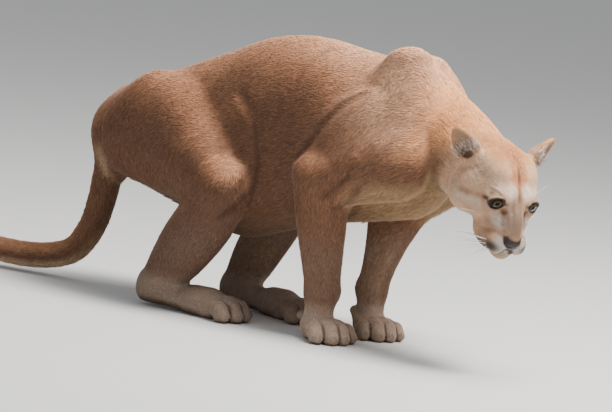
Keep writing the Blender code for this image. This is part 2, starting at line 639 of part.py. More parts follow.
def slice_off(ob, point, normal, reach=0.30):
    """Cut by a plane within reach of a point, keep the side away from normal, and close it."""
    bm = bmesh.new()
    bm.from_mesh(ob.data)
    c = Vector(point)
    near = {v for v in bm.verts if (v.co - c).length < reach}
    geom = list(near) + [e for e in bm.edges if all(v in near for v in e.verts)] \
        + [q for q in bm.faces if all(v in near for v in q.verts)]
    bmesh.ops.bisect_plane(bm, geom=geom, dist=1e-6, plane_co=c, plane_no=Vector(normal),
                           clear_outer=True)
    edges = [e for e in bm.edges if len(e.link_faces) == 1]
    bmesh.ops.holes_fill(bm, edges=edges, sides=0)
    bmesh.ops.triangulate(bm, faces=[q for q in bm.faces if len(q.verts) > 3])
    bmesh.ops.recalc_face_normals(bm, faces=bm.faces[:])
    bm.to_mesh(ob.data)
    bm.free()


def block(name, c, half, m, grow=0.0):
    """An oriented box: centre, half-sizes, axes as columns."""
    h = np.asarray(half, float) + grow
    m = np.eye(3) if m is None else m
    corners = [np.asarray(c, float) + m @ (np.array([x, y, z]) * h)
               for x in (-1, 1) for y in (-1, 1) for z in (-1, 1)]
    faces = [(0, 1, 3, 2), (4, 6, 7, 5), (0, 4, 5, 1), (2, 3, 7, 6), (0, 2, 6, 4), (1, 5, 7, 3)]
    return plain(name, corners, faces)


def cut_with(ob, tool, how):
    m = ob.modifiers.new("cut", "BOOLEAN")
    m.operation = how
    m.solver = "EXACT"
    m.object = tool
    apply_all(ob)


def copy_of(ob, name):
    o = bpy.data.objects.new(name, ob.data.copy())
    bpy.context.scene.collection.objects.link(o)
    return o


def round_ball(name, c, r, n):
    bm = bmesh.new()
    bmesh.ops.create_uvsphere(bm, u_segments=n, v_segments=n // 2, radius=r)
    me = bpy.data.meshes.new(name)
    bm.to_mesh(me)
    bm.free()
    ob = bpy.data.objects.new(name, me)
    me.transform(Matrix.Translation(Vector([float(x) for x in c])))
    bpy.context.scene.collection.objects.link(ob)
    return ob


def between(a, b):
    """Axes with the first along a to b."""
    x = unit(np.asarray(b, float) - np.asarray(a, float))
    y = unit(np.cross(vec(0, 0, 1) if abs(x[2]) < 0.9 else vec(1, 0, 0), x))
    return np.stack([x, y, np.cross(x, y)], 1)


def end_block(point, toward, wide, length):
    """A box that starts at point and reaches `length` toward a direction."""
    m = between(vec(0, 0, 0), toward)
    return np.asarray(point, float) + m[:, 0] * length, (length, wide, wide), m


COATS = {
    "back": (0.56, 0.36, 0.22, 1), "flank": (0.58, 0.40, 0.27, 1), "head": (0.60, 0.43, 0.30, 1),
    "foot": (0.50, 0.38, 0.30, 1), "ear": (0.35, 0.26, 0.20, 1), "nose": (0.20, 0.11, 0.09, 1),
    "eye": (0.30, 0.27, 0.12, 1), "tail": (0.52, 0.35, 0.23, 1),
}


def coat(name, kind):
    mt = bpy.data.materials.new(name)
    mt.use_nodes = True
    b = mt.node_tree.nodes["Principled BSDF"]
    b.inputs["Base Color"].default_value = COATS[kind]
    b.inputs["Roughness"].default_value = 0.15 if kind == "eye" else 0.8
    mt.diffuse_color = COATS[kind]
    return mt


def main():
    form = body_form()
    body = plain("body", *net(form, (-0.93, -0.21, -0.03), (0.47, 0.21, 0.61), BODY_CELL))
    head = plain("head", *net(form, HEAD_AT - 0.1512, HEAD_AT + 0.1512, HEAD_CELL))
    largest(body)

    def keep_body(p):
        w = np.ones(len(p))
        w[p[:, 2] < 0.075] = 0.6
        w[p[:, 0] > 0.30] = 0.9
        return w

    def keep_head(p):
        q = (p - HEAD_AT) @ HEAD_M
        w = np.full(len(p), 0.9)
        e = EYE
        for s in (1, -1):
            d = np.linalg.norm(q - e * (1, s, 1), axis=1)
            w[d < 0.022] = 0.45
        w[(q[:, 0] > 0.098) & (q[:, 2] > -0.045)] = 0.6
        w[q[:, 0] < -0.075] = 1.0
        return w

    # the open ends of the sampled boxes are cut square before thinning
    x = HEAD_M[:, 0]
    slice_off(head, HEAD_AT + x * (HEAD_CUT - 0.012), -x)
    slice_off(body, HEAD_AT + x * (HEAD_CUT + 0.012), x)
    largest(head)
    largest(body)
    thin(head, HEAD_FACES, keep_head)
    thin(body, BODY_FACES, keep_body)
    slice_off(head, HEAD_AT + x * (HEAD_CUT + GAP / 2), -x)
    slice_off(body, HEAD_AT + x * (HEAD_CUT - GAP / 2), x)
    tool = block("tool", (-0.3, 0, FLOOR - 0.05), (1.2, 0.4, 0.05), None)
    cut_with(body, tool, "DIFFERENCE")
    bpy.data.objects.remove(tool)
    largest(head)
    largest(body)

    done = {}

    def take(src, name, kind, c, half, m=None):
        """Part a piece off: what lies in the box, and the rest a gap away."""
        piece = copy_of(src, name)
        tool = block("tool", c, half, m)
        cut_with(piece, tool, "INTERSECT")
        bpy.data.objects.remove(tool)
        tool = block("tool", c, half, m, GAP)
        cut_with(src, tool, "DIFFERENCE")
        bpy.data.objects.remove(tool)
        largest(piece)
        done[name] = (piece, kind)
        return piece

    # head: ears, nose, eyes
    for s, side in ((1, "L"), (-1, "R")):
        base, tip = vec(-40, 63 * s, 47), vec(-61, 103 * s, 84)
        c, half, m = end_block(hd(*(base + (tip - base) * 0.02)), HEAD_M @ (tip - base), 0.045, 0.045)
        take(head, "ear_" + side, "ear", c, half, m)
    take(head, "nose", "nose", hd(124, 0, -24), (0.0175, 0.0172, 0.0125), HEAD_M @ turn(0, 0.25, 0))
    for s, side in ((1, "L"), (-1, "R")):
        c = hd(EYE[0] * 1000, EYE[1] * 1000 * s, EYE[2] * 1000)
        tool = round_ball("tool", c, EYE_R + 0.0006, 32)
        cut_with(head, tool, "DIFFERENCE")
        bpy.data.objects.remove(tool)
        done["eye_" + side] = (round_ball("eye_" + side, c, EYE_R, 20), "eye")
    largest(head)
    done["head"] = (head, "head")

    # tail in three lengths
    take(body, "tail_tip", "tail", (-0.80, -0.03, 0.08), (0.08, 0.07, 0.10))
    take(body, "tail_middle", "tail", (-0.610, -0.010, 0.070), (0.110 - GAP, 0.060, 0.100))
    take(body, "tail_base", "tail", *end_block((-0.449, 0.006, 0.258), vec(-0.20, 0, -0.98), 0.060, 0.130))
    # feet and legs
    take(body, "forefoot_R", "foot", (0.125, -0.105, 0.008), (0.085, 0.075, 0.060))
    take(body, "forefoot_L", "foot", (0.155, 0.04275, 0.008), (0.085, 0.07225, 0.060))
    take(body, "foreleg_R", "flank", (0.100, -0.110, 0.140), (0.085, 0.060, 0.084 - GAP))
    take(body, "foreleg_L", "flank", (0.140, 0.080, 0.132), (0.090, 0.060, 0.074 - GAP))
    take(body, "hindfoot_R", "foot", *end_block((-0.196, -0.090, 0.030), vec(1, 0, -0.12), 0.060, 0.095))
    take(body, "hindfoot_L", "foot", *end_block((-0.095, 0.079, 0.030), vec(0.984, -0.178, -0.12), 0.060, 0.080))
    take(body, "lower_leg_R", "flank", (-0.235, -0.112, 0.100), (0.120, 0.072, 0.112))
    take(body, "lower_leg_L", "flank", (-0.115, 0.108, 0.069), (0.120, 0.065, 0.081))
    take(body, "thigh_R", "flank", (-0.235, -0.150, 0.300), (0.210, 0.086, 0.170))
    take(body, "thigh_L", "flank", (-0.215, 0.150, 0.3102), (0.215, 0.086, 0.160))
    take(body, "shoulder_R", "flank", (0.150, -0.150, 0.355), (0.160, 0.083, 0.130))
    take(body, "shoulder_L", "flank", (0.180, 0.150, 0.335), (0.150, 0.085, 0.128))
    # neck and three lengths of trunk
    take(body, "neck", "back", *end_block((0.300, -0.020, 0.400), vec(1, -0.30, -0.22), 0.20, 0.12))
    take(body, "rump", "back", (-0.420, 0.0, 0.30), (0.190, 0.20, 0.25))
    take(body, "loin", "back", (-0.140, 0.0, 0.35), (0.090 - GAP, 0.20, 0.30))
    largest(body)
    done["chest"] = (body, "back")

    lo, hi = np.full(3, 9.0), np.full(3, -9.0)
    for ob, _ in done.values():
        co = np.empty(len(ob.data.vertices) * 3)
        ob.data.vertices.foreach_get("co", co)
        lo, hi = np.minimum(lo, co.reshape(-1, 3).min(0)), np.maximum(hi, co.reshape(-1, 3).max(0))
    shift = Vector((-(lo[0] + hi[0]) / 2, -(lo[1] + hi[1]) / 2, -lo[2]))
    total = 0
    for name, (ob, kind) in done.items():
        ob.name = name
        ob.data.transform(Matrix.Translation(shift))
        ob.data.name = name
        ob.data.materials.clear()
        ob.data.materials.append(coat(name, kind))
        for q in ob.data.polygons:
            q.material_index = 0
        total += sum(len(q.vertices) - 2 for q in ob.data.polygons)
    print("triangles", total, "shift", tuple(round(s, 6) for s in shift))


main()
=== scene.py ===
"""The looks of the cougar: one skin, its coat in tufts, eyes, whiskers and claws."""
import math
import bpy
import bmesh
import numpy as np
from mathutils import Matrix, Vector


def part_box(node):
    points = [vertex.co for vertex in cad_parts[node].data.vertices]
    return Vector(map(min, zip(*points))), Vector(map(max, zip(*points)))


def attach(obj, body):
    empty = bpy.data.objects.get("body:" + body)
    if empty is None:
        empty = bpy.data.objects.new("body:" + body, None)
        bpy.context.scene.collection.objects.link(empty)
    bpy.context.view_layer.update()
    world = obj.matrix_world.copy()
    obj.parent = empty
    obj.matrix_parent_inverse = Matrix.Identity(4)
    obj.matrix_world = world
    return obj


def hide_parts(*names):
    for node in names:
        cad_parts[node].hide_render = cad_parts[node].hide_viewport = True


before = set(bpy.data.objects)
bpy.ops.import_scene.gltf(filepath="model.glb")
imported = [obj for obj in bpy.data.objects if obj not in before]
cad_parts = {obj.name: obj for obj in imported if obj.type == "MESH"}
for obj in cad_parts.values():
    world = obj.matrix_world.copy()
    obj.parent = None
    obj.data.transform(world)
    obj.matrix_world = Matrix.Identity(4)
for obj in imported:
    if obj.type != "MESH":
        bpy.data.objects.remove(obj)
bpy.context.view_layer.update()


# ---------------------------------------------------------------- shape kit
def vec(*a):
    return np.array(a, dtype=float)


def unit(v):
    v = np.asarray(v, float)
    return v / max(float(np.linalg.norm(v)), 1e-12)


def turn(yaw, pitch, roll):
    """Rotation: roll about the long axis, then nose-down pitch, then yaw."""
    cy, sy, cp, sp, cr, sr = (math.cos(yaw), math.sin(yaw), math.cos(pitch),
                              math.sin(pitch), math.cos(roll), math.sin(roll))
    rz = np.array([[cy, -sy, 0], [sy, cy, 0], [0, 0, 1.0]])
    ry = np.array([[cp, 0, sp], [0, 1.0, 0], [-sp, 0, cp]])
    rx = np.array([[1.0, 0, 0], [0, cr, -sr], [0, sr, cr]])
    return rz @ ry @ rx


def spline(rows, step):
    """Catmull-Rom through rows (x, y, z, then any widths), sampled about every step."""
    k = np.array(rows, float)
    k = np.vstack([2 * k[0] - k[1], k, 2 * k[-1] - k[-2]])
    out = []
    for i in range(1, len(k) - 2):
        a, b, c, d = k[i - 1], k[i], k[i + 1], k[i + 2]
        n = max(2, int(np.linalg.norm(c[:3] - b[:3]) / step) + 1)
        t = (np.arange(n) / n)[:, None]
        out.append(0.5 * (2 * b + (c - a) * t + (2 * a - 5 * b + 4 * c - d) * t * t
                          + (3 * b - a - 3 * c + d) * t ** 3))
    out.append(k[-2][None, :])
    return np.vstack(out)


class Tube:
    """A limb or body length: oval sections along a smooth line.
    rows: x, y, z, half side, half towards `up`, half away from `up`."""

    def __init__(self, rows, up, cap=0.9, power=2.0, step=0.006):
        s = spline(rows, step)
        self.c = s[:, :3]
        self.r = s[:, 3:6]
        self.power = power
        t = np.gradient(self.c, axis=0)
        t /= np.linalg.norm(t, axis=1)[:, None]
        up = np.asarray(up, float)
        u = up[None, :] - (t @ up)[:, None] * t if up.ndim == 1 else up
        u /= np.linalg.norm(u, axis=1)[:, None]
        self.t, self.u, self.b = t, u, np.cross(u, t)
        self.cap = (cap * self.r[0].mean(), cap * self.r[-1].mean())
        m = float(self.r.max()) * 1.02
        self.lo = self.c.min(0) - m
        self.hi = self.c.max(0) + m

    def __call__(self, p):
        out = np.empty(len(p))
        c, n = self.c, len(self.c)
        c2 = (c * c).sum(1)
        for a in range(0, len(p), 60000):
            q = p[a:a + 60000]
            i = np.argmin(c2[None, :] - 2 * q @ c.T, axis=1)
            along = ((q - c[i]) * self.t[i]).sum(1)
            j = np.clip(i + np.where(along > 0, 1, -1), 0, n - 1)
            gap = np.abs(((c[j] - c[i]) * self.t[i]).sum(1)) + 1e-9
            f = np.clip(np.abs(along) / gap, 0, 1) * (j != i)
            f = f[:, None]
            cc = c[i] * (1 - f) + c[j] * f
            rr = self.r[i] * (1 - f) + self.r[j] * f
            t = self.t[i] * (1 - f) + self.t[j] * f
            t /= np.linalg.norm(t, axis=1)[:, None]
            u = self.u[i] * (1 - f) + self.u[j] * f
            u -= (u * t).sum(1)[:, None] * t
            u /= np.linalg.norm(u, axis=1)[:, None]
            b = np.cross(u, t)
            d = q - cc
            x = (d * b).sum(1)
            y = (d * u).sum(1)
            z = (d * t).sum(1)
            rx = rr[:, 0]
            ry = np.where(y > 0, rr[:, 1], rr[:, 2])
            end = np.where(i == 0, self.cap[0], np.where(i == n - 1, self.cap[1], 0.02))
            on_end = ((i == 0) & (z < 0)) | ((i == n - 1) & (z > 0))
            z = np.where(on_end, z, 0.0)
            pw = self.power
            if pw == 2.0:
                rho = np.sqrt((x / rx) ** 2 + (y / ry) ** 2 + (z / end) ** 2) + 1e-9
                g = np.sqrt((x / rx ** 2) ** 2 + (y / ry ** 2) ** 2 + (z / end ** 2) ** 2) / rho
            else:
                ax, ay = np.abs(x / rx) + 1e-9, np.abs(y / ry) + 1e-9
                az = np.abs(z / end)
                flat = (ax ** pw + ay ** pw)
                rho = (flat + az ** pw) ** (1 / pw)
                g = np.sqrt((ax ** (pw - 1) / rx) ** 2 + (ay ** (pw - 1) / ry) ** 2
                            + (az ** (pw - 1) / end) ** 2) / rho ** (pw - 1)
            g = np.maximum(g, 1 / np.maximum(rx, ry))
            out[a:a + 60000] = (rho - 1) / g
        return out


class Stack:
    """The trunk: upright oval sections one after another along X.
    rows: x, y, z, half width, half up, half down."""

    def __init__(self, rows, cap=0.06, power=2.0):
        s = spline(rows, 0.01)
        self.s, self.cap, self.power = s, cap, power
        m = float(s[:, 3:].max())
        self.lo = s[:, :3].min(0) - (cap, m, m)
        self.hi = s[:, :3].max(0) + (cap, m, m)

    def rho(self, p, x):
        s = self.s
        xc = np.clip(x, s[0, 0], s[-1, 0])
        c = [np.interp(xc, s[:, 0], s[:, j]) for j in range(1, 6)]
        y = (p[:, 1] - c[0]) / c[2]
        dz = p[:, 2] - c[1]
        z = dz / np.where(dz > 0, c[3], c[4])
        e = (x - xc) / self.cap
        w = self.power
        r = (np.abs(y) ** w + np.abs(z) ** w + np.abs(e) ** w) ** (1 / w) + 1e-9
        return r, c, y, z

    def __call__(self, p):
        r, c, y, z = self.rho(p, p[:, 0])
        h = 0.004
        gx = (self.rho(p, p[:, 0] + h)[0] - self.rho(p, p[:, 0] - h)[0]) / (2 * h)
        w = self.power
        hz = np.where(z > 0, c[3], c[4])
        gy = (np.abs(y) / r) ** (w - 1) / c[2]
        gz = (np.abs(z) / r) ** (w - 1) / hz
        g = np.sqrt(gx * gx + gy * gy + gz * gz)
        return (r - 1) / np.maximum(g, 1 / np.maximum(c[2], hz))


class Ball:
    """An oval mass: centre, three half-sizes, and its axes as columns."""

    def __init__(self, c, r, m=None):
        self.c, self.r = np.asarray(c, float), np.asarray(r, float)
        self.m = np.eye(3) if m is None else np.asarray(m, float)
        e = np.sqrt(((self.m * self.r[None, :]) ** 2).sum(1))
        self.lo, self.hi = self.c - e, self.c + e

    def __call__(self, p):
        q = (p - self.c) @ self.m
        rho = np.sqrt(((q / self.r) ** 2).sum(1)) + 1e-9
        g = np.sqrt(((q / self.r ** 2) ** 2).sum(1)) / rho
        return (rho - 1) / np.maximum(g, 1 / self.r.max())


class Rod:
    """A rounded, tapering rod from a to b."""

    def __init__(self, a, b, ra, rb):
        self.a, self.b = np.asarray(a, float), np.asarray(b, float)
        self.ra, self.rb = ra, rb
        m = max(ra, rb)
        self.lo = np.minimum(self.a, self.b) - m
        self.hi = np.maximum(self.a, self.b) + m

    def __call__(self, p):
        ab = self.b - self.a
        t = np.clip(((p - self.a) @ ab) / max(float(ab @ ab), 1e-12), 0, 1)
        d = p - self.a - t[:, None] * ab
        return np.sqrt((d * d).sum(1)) - (self.ra + (self.rb - self.ra) * t)


class Line:
    """Distance from a smooth line, for folds and seams."""

    def __init__(self, rows, step=0.004):
        self.c = spline(rows, step)[:, :3]
        self.lo, self.hi = self.c.min(0), self.c.max(0)

    def __call__(self, p):
        out = np.empty(len(p))
        c = self.c
        ab = c[1:] - c[:-1]
        for a in range(0, len(p), 40000):
            q = p[a:a + 40000]
            c2 = (c * c).sum(1)
            i = np.clip(np.argmin(c2[None, :] - 2 * q @ c.T, axis=1), 0, len(c) - 1)
            best = np.full(len(q), 1e9)
            for s in (-1, 0):
                k = np.clip(i + s, 0, len(ab) - 1)
                t = np.clip(((q - c[k]) * ab[k]).sum(1) / ((ab[k] ** 2).sum(1) + 1e-12), 0, 1)
                d = q - c[k] - t[:, None] * ab[k]
                best = np.minimum(best, np.sqrt((d * d).sum(1)))
            out[a:a + 40000] = best
        return out


class Form:
    """Masses joined softly (add), taken away (cut), and fine relief (mark)."""

    def __init__(self):
        self.ops = []

    def add(self, shape, k=0.02):
        self.ops.append(("add", shape, k, 0.0))

    def cut(self, shape, k=0.005):
        self.ops.append(("cut", shape, k, 0.0))

    def mark(self, shape, height, width):
        self.ops.append(("mark", shape, width, height))

    def value(self, p, reach=0.03):
        d = np.full(len(p), 9.0)
        for kind, s, k, h in self.ops:
            m = k + reach if kind != "mark" else 2.6 * k
            inside = np.all((p > s.lo - m) & (p < s.hi + m), axis=1)
            i = np.nonzero(inside)[0]
            if len(i) == 0:
                continue
            v = s(p[i])
            w = d[i]
            if kind == "add":
                t = np.clip(0.5 + 0.5 * (w - v) / k, 0, 1)
                d[i] = w * (1 - t) + v * t - k * t * (1 - t)
            elif kind == "cut":
                t = np.clip(0.5 + 0.5 * (w + v) / k, 0, 1)
                d[i] = w * t - v * (1 - t) + k * t * (1 - t)
            else:
                d[i] = w - h * np.exp(-(v / k) ** 2)
        return d

    def slope(self, p, e=0.0006):
        """Outward direction and value at p."""
        n = len(p)
        q = np.concatenate([p + (e, 0, 0), p - (e, 0, 0), p + (0, e, 0),
                            p - (0, e, 0), p + (0, 0, e), p - (0, 0, e)])
        v = self.value(q).reshape(6, n)
        g = np.stack([v[0] - v[1], v[2] - v[3], v[4] - v[5]], 1) / (2 * e)
        return g


def net(form, lo, hi, h, level=0.0, coarse=4):
    """Closed quad mesh of the surface value = level, by surface nets."""
    lo = np.asarray(lo, float)
    n = np.ceil((np.asarray(hi, float) - lo) / (h * coarse)).astype(int) * coarse + 1
    nc = (n - 1) // coarse + 1
    hc = h * coarse
    g = [lo[a] + hc * np.arange(nc[a]) for a in range(3)]
    pc = np.stack(np.meshgrid(*g, indexing="ij"), -1).reshape(-1, 3)
    vc = form.value(pc, reach=hc * 2.2).reshape(nc) - level
    near = np.abs(vc) < hc * 1.9
    cell = np.zeros(nc - 1, bool)
    neg = np.zeros(nc - 1, bool)
    for i in (0, 1):
        for j in (0, 1):
            for k in (0, 1):
                s = (slice(i, nc[0] - 1 + i), slice(j, nc[1] - 1 + j), slice(k, nc[2] - 1 + k))
                cell |= near[s]
                neg |= vc[s] < 0
    d = np.full(n, 9.0, np.float32)
    big = np.repeat(np.repeat(np.repeat(neg & ~cell, coarse, 0), coarse, 1), coarse, 2)
    d[:-1, :-1, :-1][big] = -9.0
    need = np.zeros(n, bool)
    up = np.repeat(np.repeat(np.repeat(cell, coarse, 0), coarse, 1), coarse, 2)
    for i in (0, 1):
        for j in (0, 1):
            for k in (0, 1):
                need[i:n[0] - 1 + i, j:n[1] - 1 + j, k:n[2] - 1 + k] |= up
    idx = np.argwhere(need)
    for a in range(0, len(idx), 400000):
        q = idx[a:a + 400000]
        d[q[:, 0], q[:, 1], q[:, 2]] = form.value(lo + q * h) - level
    ins = d < 0
    m = n - 1
    anyc = np.zeros(m, bool)
    allc = np.ones(m, bool)
    for i in (0, 1):
        for j in (0, 1):
            for k in (0, 1):
                s = ins[i:m[0] + i, j:m[1] + j, k:m[2] + k]
                anyc |= s
                allc &= s
    act = np.argwhere(anyc & ~allc)
    flat = (act[:, 0] * m[1] + act[:, 1]) * m[2] + act[:, 2]
    acc = np.zeros((len(act), 3))
    cnt = np.zeros(len(act))
    cor = [(i, j, k) for i in (0, 1) for j in (0, 1) for k in (0, 1)]
    for a in range(8):
        for b in range(a + 1, 8):
            ca, cb = np.array(cor[a]), np.array(cor[b])
            if np.abs(ca - cb).sum() != 1:
                continue
            va = d[act[:, 0] + ca[0], act[:, 1] + ca[1], act[:, 2] + ca[2]].astype(float)
            vb = d[act[:, 0] + cb[0], act[:, 1] + cb[1], act[:, 2] + cb[2]].astype(float)
            x = (va < 0) != (vb < 0)
            t = np.where(x, va / np.where(x, va - vb, 1), 0)
            acc += np.where(x[:, None], ca[None, :] + t[:, None] * (cb - ca)[None, :], 0)
            cnt += x
    verts = lo + (act + acc / cnt[:, None]) * h
    quads = []
    for ax in range(3):
        o = [a for a in range(3) if a != ax]
        s0 = [slice(None)] * 3
        s1 = [slice(None)] * 3
        s0[ax], s1[ax] = slice(0, -1), slice(1, None)
        diff = ins[tuple(s0)] != ins[tuple(s1)]
        e = np.argwhere(diff)
        e = e[(e[:, o[0]] > 0) & (e[:, o[1]] > 0) & (e[:, o[0]] < m[o[0]]) & (e[:, o[1]] < m[o[1]])]
        first = ins[e[:, 0], e[:, 1], e[:, 2]]
        ring = []
        for da, db in ((0, 0), (-1, 0), (-1, -1), (0, -1)):
            c = e.copy()
            c[:, o[0]] += da
            c[:, o[1]] += db
            ring.append(np.searchsorted(flat, (c[:, 0] * m[1] + c[:, 1]) * m[2] + c[:, 2]))
        q = np.stack(ring, 1)
        flip = first if ax != 1 else ~first
        q[~flip] = q[~flip][:, ::-1]
        quads.append(q)
    return verts, np.vstack(quads)


# ------------------------------------------------------------ the animal
# Sizes in metres.  +X is the way the body faces, +Y its left, +Z up.
HEAD_AT = vec(0.454, -0.100, 0.336)
HEAD_YAW, HEAD_PITCH, HEAD_ROLL = math.radians(-34.9), math.radians(31.9), math.radians(-3.3)
HEAD_M = turn(HEAD_YAW, HEAD_PITCH, HEAD_ROLL)
EYE = vec(0.0560, 0.0350, 0.0225)       # eyeball centre in the head's own axes
EYE_R = 0.0142


def hd(x, y, z):
    """A point of the head in millimetres, in the head's own axes, to the world."""
    return HEAD_AT + HEAD_M @ (vec(x, y, z) / 1000.0)


def on_skin(f, p):
    """Move points along the slope of the form on to its surface."""
    p = p.copy()
    for _ in range(6):
        g = f.slope(p)
        v = f.value(p)
        p -= g * np.clip(v / np.maximum((g * g).sum(1), 1e-6), -0.01, 0.01)[:, None]
    return p


def head_form(f):
    def ball(x, y, z, a, b, c, k, ry=0.0, rz=0.0, rx=0.0, cut=False):
        for s in ((1, -1) if abs(y) > 0.01 or rz or rx else (1,)):
            m = HEAD_M @ turn(math.radians(rz) * s, math.radians(ry), math.radians(rx) * s)
            b_ = Ball(hd(x, y * s, z), vec(a, b, c) / 1000.0, m)
            (f.cut if cut else f.add)(b_, k / 1000.0)

    def line(rows, h, w):
        for s in (1, -1):
            r = on_skin(f, np.array([hd(x, y * s, z) for x, y, z in rows]))
            f.mark(Line(r, 0.003), h / 1000.0, w / 1000.0)
            if all(abs(y) < 0.01 for _, y, _ in rows):
                break

    # braincase, forehead, cheeks
    ball(-30, 0, 24, 72, 60, 54, 20)
    ball(8, 0, 26, 56, 53, 46, 20, ry=10)
    ball(-2, 23, 52, 44, 30, 26, 18, rz=-6)           # crown of the forehead
    ball(18, 38, 14, 34, 20, 26, 18, rz=-10)          # temple
    ball(-14, 48, -10, 42, 33, 46, 20, rz=-6)         # cheek
    ball(-36, 38, -28, 36, 32, 38, 20)                # jaw muscle
    ball(18, 38, -16, 34, 26, 24, 18, rz=-14)         # cheek bone
    ball(24, 0, -30, 54, 38, 34, 20)                  # under the face
    ball(60, 25, -10, 25, 17, 22, 14, rz=-6)          # below the eye
    ball(51, 25, 39, 21, 15, 10, 12, ry=22, rz=-8)    # brow
    ball(42, 37, 9, 23, 17, 19, 14)                   # rim of the orbit
    ball(48, 0, 34, 26, 26, 18, 14, ry=24)            # between the brows
    # bridge and muzzle
    ball(78, 0, 8, 38, 17, 17, 14, ry=38)
    ball(92, 0, -12, 28, 16, 15, 12, ry=34)
    ball(82, 0, -30, 32, 31, 24, 12, ry=14)
    ball(89, 21, -42, 25, 20.5, 20.5, 8, ry=16, rz=-10)   # whisker pads
    ball(79, 0, -60, 27, 24, 17, 10, ry=14)           # chin
    ball(86, 0, -64.5, 17, 16, 11, 8)
    ball(56, 28, -47, 31, 20, 21, 12, ry=12, rz=-12)  # lip corner to cheek
    ball(73, 31, -50, 18, 13, 14, 8)                  # back of the pads
    ball(110.5, 0, -28.5, 9.5, 16.5, 12, 5, ry=24)          # nose
    # ears
    for s in (1, -1):
        base = vec(-40, 63 * s, 47)
        tip = vec(-61, 103 * s, 84)
        up = unit(tip - base)
        front = unit(vec(1, 1.15 * s, 0.25))
        front = unit(front - up * (front @ up))
        rows = []
        for t, w, d in ((-0.30, 24, 19), (0.0, 24.5, 17), (0.30, 24.5, 15), (0.6, 22.0, 11),
                        (0.84, 16.0, 7.0), (0.96, 10.5, 5.0)):
            c = base + (tip - base) * t - front * (2.0 * t)
            rows.append([*hd(*c), w / 1000.0, d / 1000.0, d / 1000.0])
        f.add(Tube(rows, HEAD_M @ front, cap=0.7, power=2.0, step=0.004), 0.010)
        cup = []
        for t, w, d in ((0.12, 11.0, 10), (0.32, 15.5, 11.5), (0.6, 15.5, 10.0), (0.82, 11.0, 7.0),
                        (0.95, 6.0, 4.0)):
            c = base + (tip - base) * t + front * (10.5 - 3.0 * t)
            cup.append([*hd(*c), w / 1000.0, d / 1000.0, d / 1000.0])
        f.cut(Tube(cup, HEAD_M @ front, cap=0.7, step=0.004), 0.004)
    # lids: a rim round each eyeball, opened between the corners
    e = EYE * 1000
    for s in (1, -1):
        f.add(Ball(hd(e[0] + 0.6, e[1] * s, e[2]), vec(16.4, 16.4, 15.4) / 1000, HEAD_M), 0.008)
        look = turn(math.radians(20 * s), math.radians(-8), math.radians(-30 * s))
        at = vec(e[0], e[1] * s, e[2]) + look @ vec(15.5, 0, 0)
        f.cut(Ball(hd(*at), vec(10.5, 14.6, 10.0) / 1000, HEAD_M @ look), 0.0025)
        f.cut(Ball(hd(e[0] + 15.5, (e[1] - 12.5) * s, e[2] - 8.0), vec(6, 4.5, 3.6) / 1000, HEAD_M), 0.004)
    line([(112, 3.5, -44), (105, 13, -52), (93, 27, -57), (79, 36, -60), (64, 41, -60)], -3.6, 2.8)
    line([(119, 0, -37), (116, 0, -44)], -2.2, 1.8)
    line([(117, 7, -30), (113, 12.5, -30.5), (109, 15, -27)], -3.4, 2.4)
    line([(-54, 62, 22), (-60, 66, -8), (-56, 60, -36), (-40, 44, -62)], -5.0, 10.0)
    return f


def leg_tube(f, rows, up, k, power=2.2, cap=0.9):
    f.add(Tube(rows, up, cap=cap, power=power), k)


def paw(f, wrist, at, yaw, scale, wide, hind=False):
    """A foot: at = middle of the ball of the foot on the floor."""
    c, s_ = math.cos(yaw), math.sin(yaw)
    fw, lf = vec(c, s_, 0), vec(-s_, c, 0)
    up = vec(0, 0, 1)

    def w(x, y, z):
        return at + (fw * x + lf * y + up * z) * scale

    m = np.stack([fw, lf, up], 1)
    # back of the foot, palm pad
    f.add(Rod(wrist, w(-0.012, 0, 0.030), 0.030 * scale, 0.029 * scale), 0.016)
    f.add(Ball(w(0.0, 0, 0.023), vec(0.040, wide * 0.92, 0.024) * scale, m), 0.014)
    for y, x, r, out in ((-0.75, 0.012, 0.0165, -0.012), (-0.27, 0.024, 0.0180, -0.003),
                         (0.27, 0.024, 0.0180, 0.003), (0.75, 0.012, 0.0165, 0.012)):
        yy = y * wide
        knuckle = w(x + 0.004, yy, 0.033 - 0.006 * abs(y))
        mid = w(x + 0.024, yy + out * 0.7, 0.026 - 0.003 * abs(y))
        tip = w(x + 0.037, yy + out, 0.0145)
        f.add(Rod(w(x - 0.028, yy * 0.72, 0.030), knuckle, 0.015 * scale, (r - 0.001) * scale), 0.006)
        f.add(Rod(knuckle, mid, (r - 0.001) * scale, r * 1.02 * scale), 0.005)
        f.add(Rod(mid, tip, r * 1.02 * scale, r * 0.84 * scale), 0.004)
        f.add(Ball(w(x + 0.028, yy + out * 0.9, 0.009), vec(0.0135, 0.0115, 0.010) * scale, m), 0.004)
    f.add(Ball(w(-0.008, 0, 0.010), vec(0.026, 0.028, 0.0125) * scale, m), 0.006)
    f.add(Ball(w(0.018, 0, 0.013), vec(0.040, wide * 0.98, 0.0150) * scale, m), 0.010)   # skin between the toes
    if not hind:
        inner = -1.0 if at[1] > 0 else 1.0
        f.add(Rod(w(-0.030, inner * wide * 0.74, 0.050), w(-0.014, inner * wide * 0.88, 0.040),
                  0.011 * scale, 0.008 * scale), 0.007)
        f.add(Ball(w(-0.048, -inner * 0.012, 0.040), vec(0.012, 0.011, 0.011) * scale, m), 0.008)


